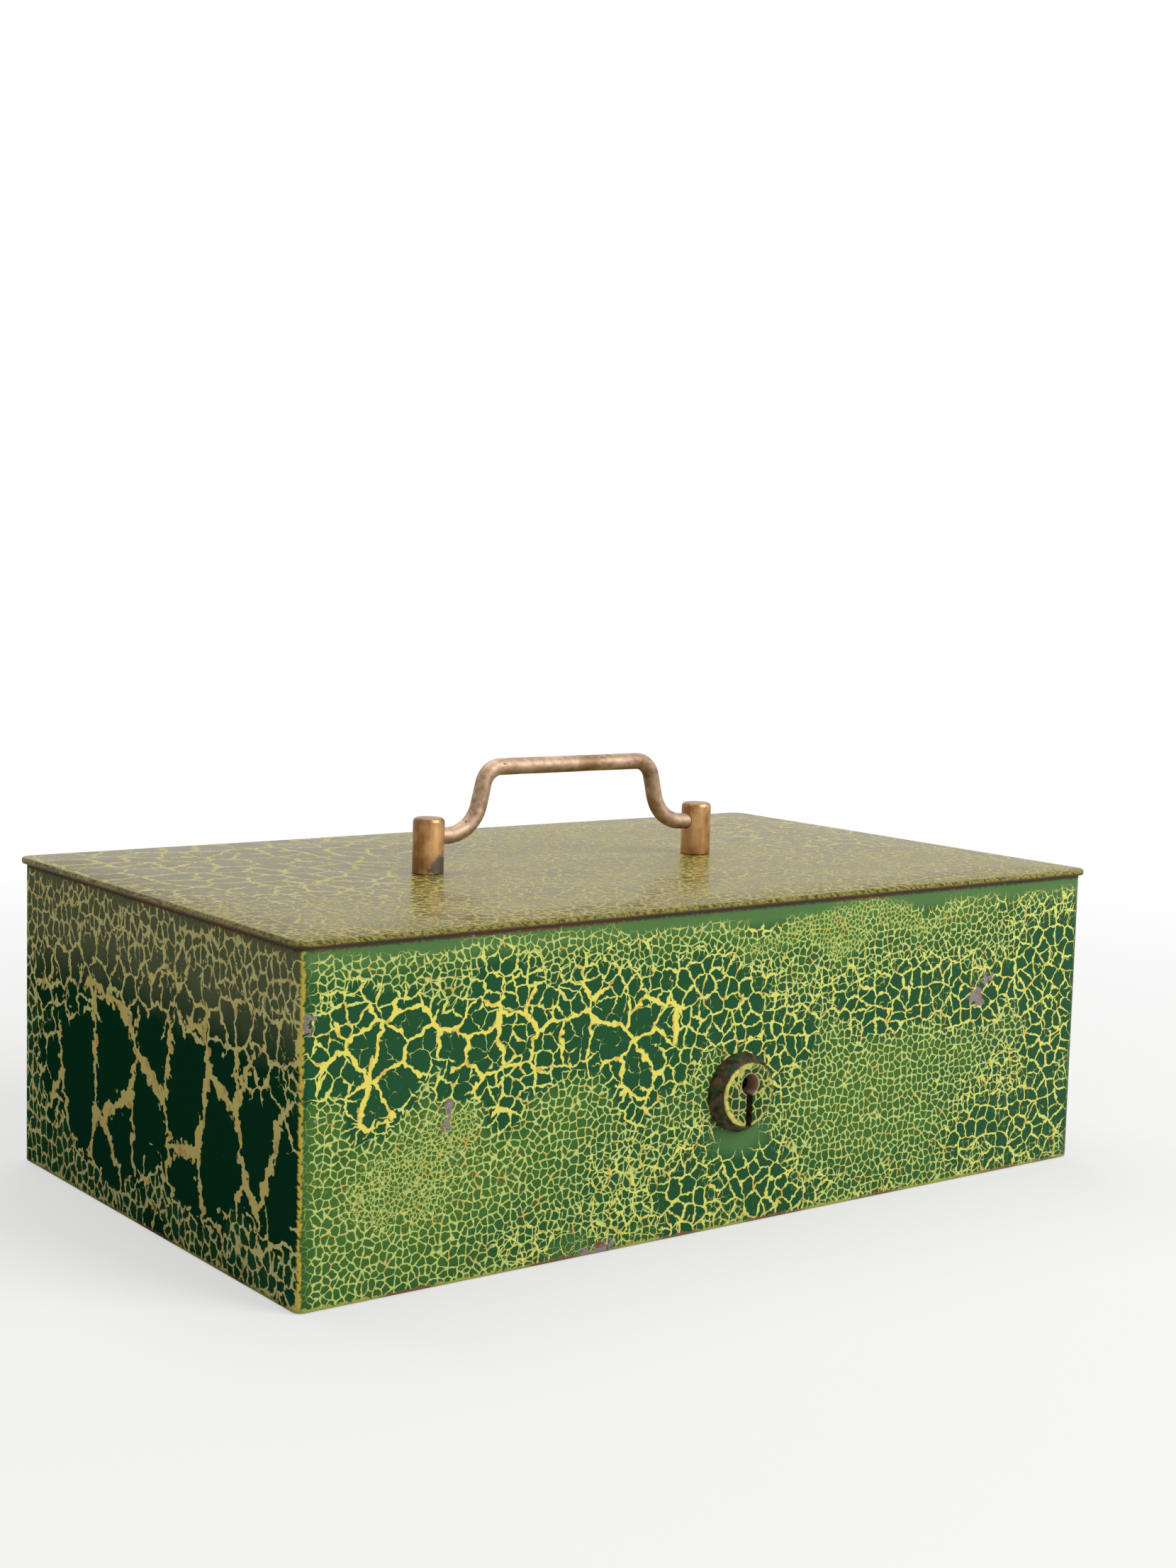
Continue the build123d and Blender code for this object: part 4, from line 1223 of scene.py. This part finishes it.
SIDE_ENAMEL = CrackleEnamel(
    name="crackle_enamel_side",
    sheet=Sheet.SIDE,
    edges=WallEdges(*WALL_TOP, smooth_strip=0.5, even_band=3.0, fold=1.2),
    networks=(
        Network(3.8, 0.38, "CEC484", (-0.5, -0.1), (0.36, 0.60), tall=1.25, broken=1.8,
                jog_wide=1.2, jog_tight=0.6, by_tight=0.6),
        Network(9.0, 0.66, "D2C680", (0.28, 0.46), (0.72, 0.90), tall=1.1, broken=1.9,
                jog_wide=2.4, by_tight=0.2, webbed=False),
        Network(19.0, 1.2, "D0BE74", (0.50, 0.72), (2.0, 3.0), 1.0, tall=2.1, broken=1.7, jog_wide=3.6,
                jog_tight=0.6, webbed=False),
    ),
    size=0.27,
    patches=(
        Patch((0, -10, 66), (FAR, 90, 17), 0.32, 0.35),
        Patch((0, -8, 36), (FAR, 84, 23), 0.80, 0.35),
        Patch((0, 84, 30), (FAR, 8, 34), -0.25),
    ),
    # Painted shade: deep, thin and ochre are darker copies of the front's, standing in for the shade this
    # side lies in; the grey that starts 66 mm up is a painted reflection of the surroundings.
    deep="0A3520", thin="22502F", even="5E6644", reflection_from=66.0, ochre="B98A4C",
    roughness=0.34, gloss=0.0,
)

LID_ENAMEL = CrackleEnamel(
    name="crackle_enamel_lid",
    sheet=Sheet.LEVEL,
    edges=LidEdges(*LID_TOP),
    networks=(
        Network(2.5, 0.30, "ACA25C", (-0.5, -0.1), (0.45, 0.70), broken=1.5, jog_wide=0.9,
                jog_tight=0.6, by_tight=0.8),
        Network(5.2, 0.46, "BAAE68", (0.22, 0.50), (0.75, 1.0), 0.5, broken=1.8, jog_wide=1.6,
                by_tight=0.4, webbed=False),
        Network(12.0, 0.85, "C2B66E", (0.50, 0.80), (2.0, 3.0), 1.0, broken=1.8, jog_wide=2.5,
                webbed=False),
    ),
    size=0.46,
    patches=(
        Patch((-110, 45, LID_TOP.z), (60, 70, FAR), 0.50),
        Patch((-45, 66, LID_TOP.z), (40, 30, FAR), 0.40),
        Patch((125, 40, LID_TOP.z), (40, 60, FAR), 0.25),
    ),
    # Painted reflection: the lid's top coat and crack colours are olive and greyed instead of the walls'
    # green, standing in for the white surroundings reflected at the grazing angle at which the lid is seen.
    deep="665C16", thin="706628", ochre="A88A50", roughness=0.22, gloss=0.06, ripple=0.2,
)

DULL_STEEL = AgedMetal("dulled_mild_steel", "8E8981", "5F5B56", "5A3B2A", 0.42, (5, 5, 1.2))
COPPERED_BAR = AgedMetal("coppered_steel_bar", "D2A470", "865C34", "5B4230", 0.36, (1.4, 1.4, 9), 0.02,
                         marked=0.2,
                         worn=(Patch((-51.5, -3.8, 101.2), (5.0, 5.0, 3.8), soft=0.25),
                               Patch((-54.3, 0, 116.4), (9, 9, 0.9), 0.45, 0.4),
                               Patch((54.3, 0, 116.4), (9, 9, 0.9), 0.45, 0.4)),
                         worn_color="6E625A")
BRONZED_ROD = AgedMetal("bronzed_steel_rod", "C6AA90", "8A6C52", "75583F", 0.54, (2.5, 2.0, 2.0), 0.05,
                        metallic=0.7)
STAMPED_BRASS = AgedMetal("aged_stamped_brass", "AE9150", "7C6535", "5A4526", 0.38, (7, 7, 1.0), 0.05)
BLUED_STRIP = AgedMetal("blued_spring_strip", "4A4F5C", "2E323C", "59402F", 0.32, (6, 6, 1.0), 0.02)

SMOOTHED = SmoothedFittings((
    "hinge_leaf_body_left", "hinge_leaf_body_right", "hinge_leaf_lid_left", "hinge_leaf_lid_right",
    "hinge_pin_left", "hinge_pin_right", "hinge_rivets", "handle_washer_left", "handle_washer_right",
    "lock_nuts", "case_screws", "lock_studs", "lever_pivot_post", "bolt_guide_post",
))


def main() -> None:
    """Build the scene."""
    logging.basicConfig(level=logging.INFO, format="%(name)s: %(message)s")
    bpy.ops.object.select_all(action="DESELECT")
    Studio().build()
    plain = DippedEnamel().material()
    collar_paint = CollarPaint().material()
    steel, brass, spring = (m.material() for m in (DULL_STEEL, STAMPED_BRASS, BLUED_STRIP))
    copper, bronze = COPPERED_BAR.material(), BRONZED_ROD.material()
    finishes = {
        "crackle_paint": plain, "collar_paint": collar_paint, "green_paint": plain, "bare_steel": steel,
        "coppered_steel": copper, "bronzed_rod": bronze, "lock_brass": brass, "spring_steel": spring,
    }
    for node, slot in SLOTS.items():
        mesh = frame["nodes"][node].data
        mesh.materials.clear()
        mesh.materials.append(finishes[slot])
    Walls(FRONT_ENAMEL, SIDE_ENAMEL).build(plain)
    LidPlate().build(LID_ENAMEL, plain)
    CarryHandle().build(copper, bronze)
    KeyholeCollar().build(collar_paint)
    SMOOTHED.build(finishes)
    LeverSprings().build(spring)


if __name__ == "__main__":
    main()
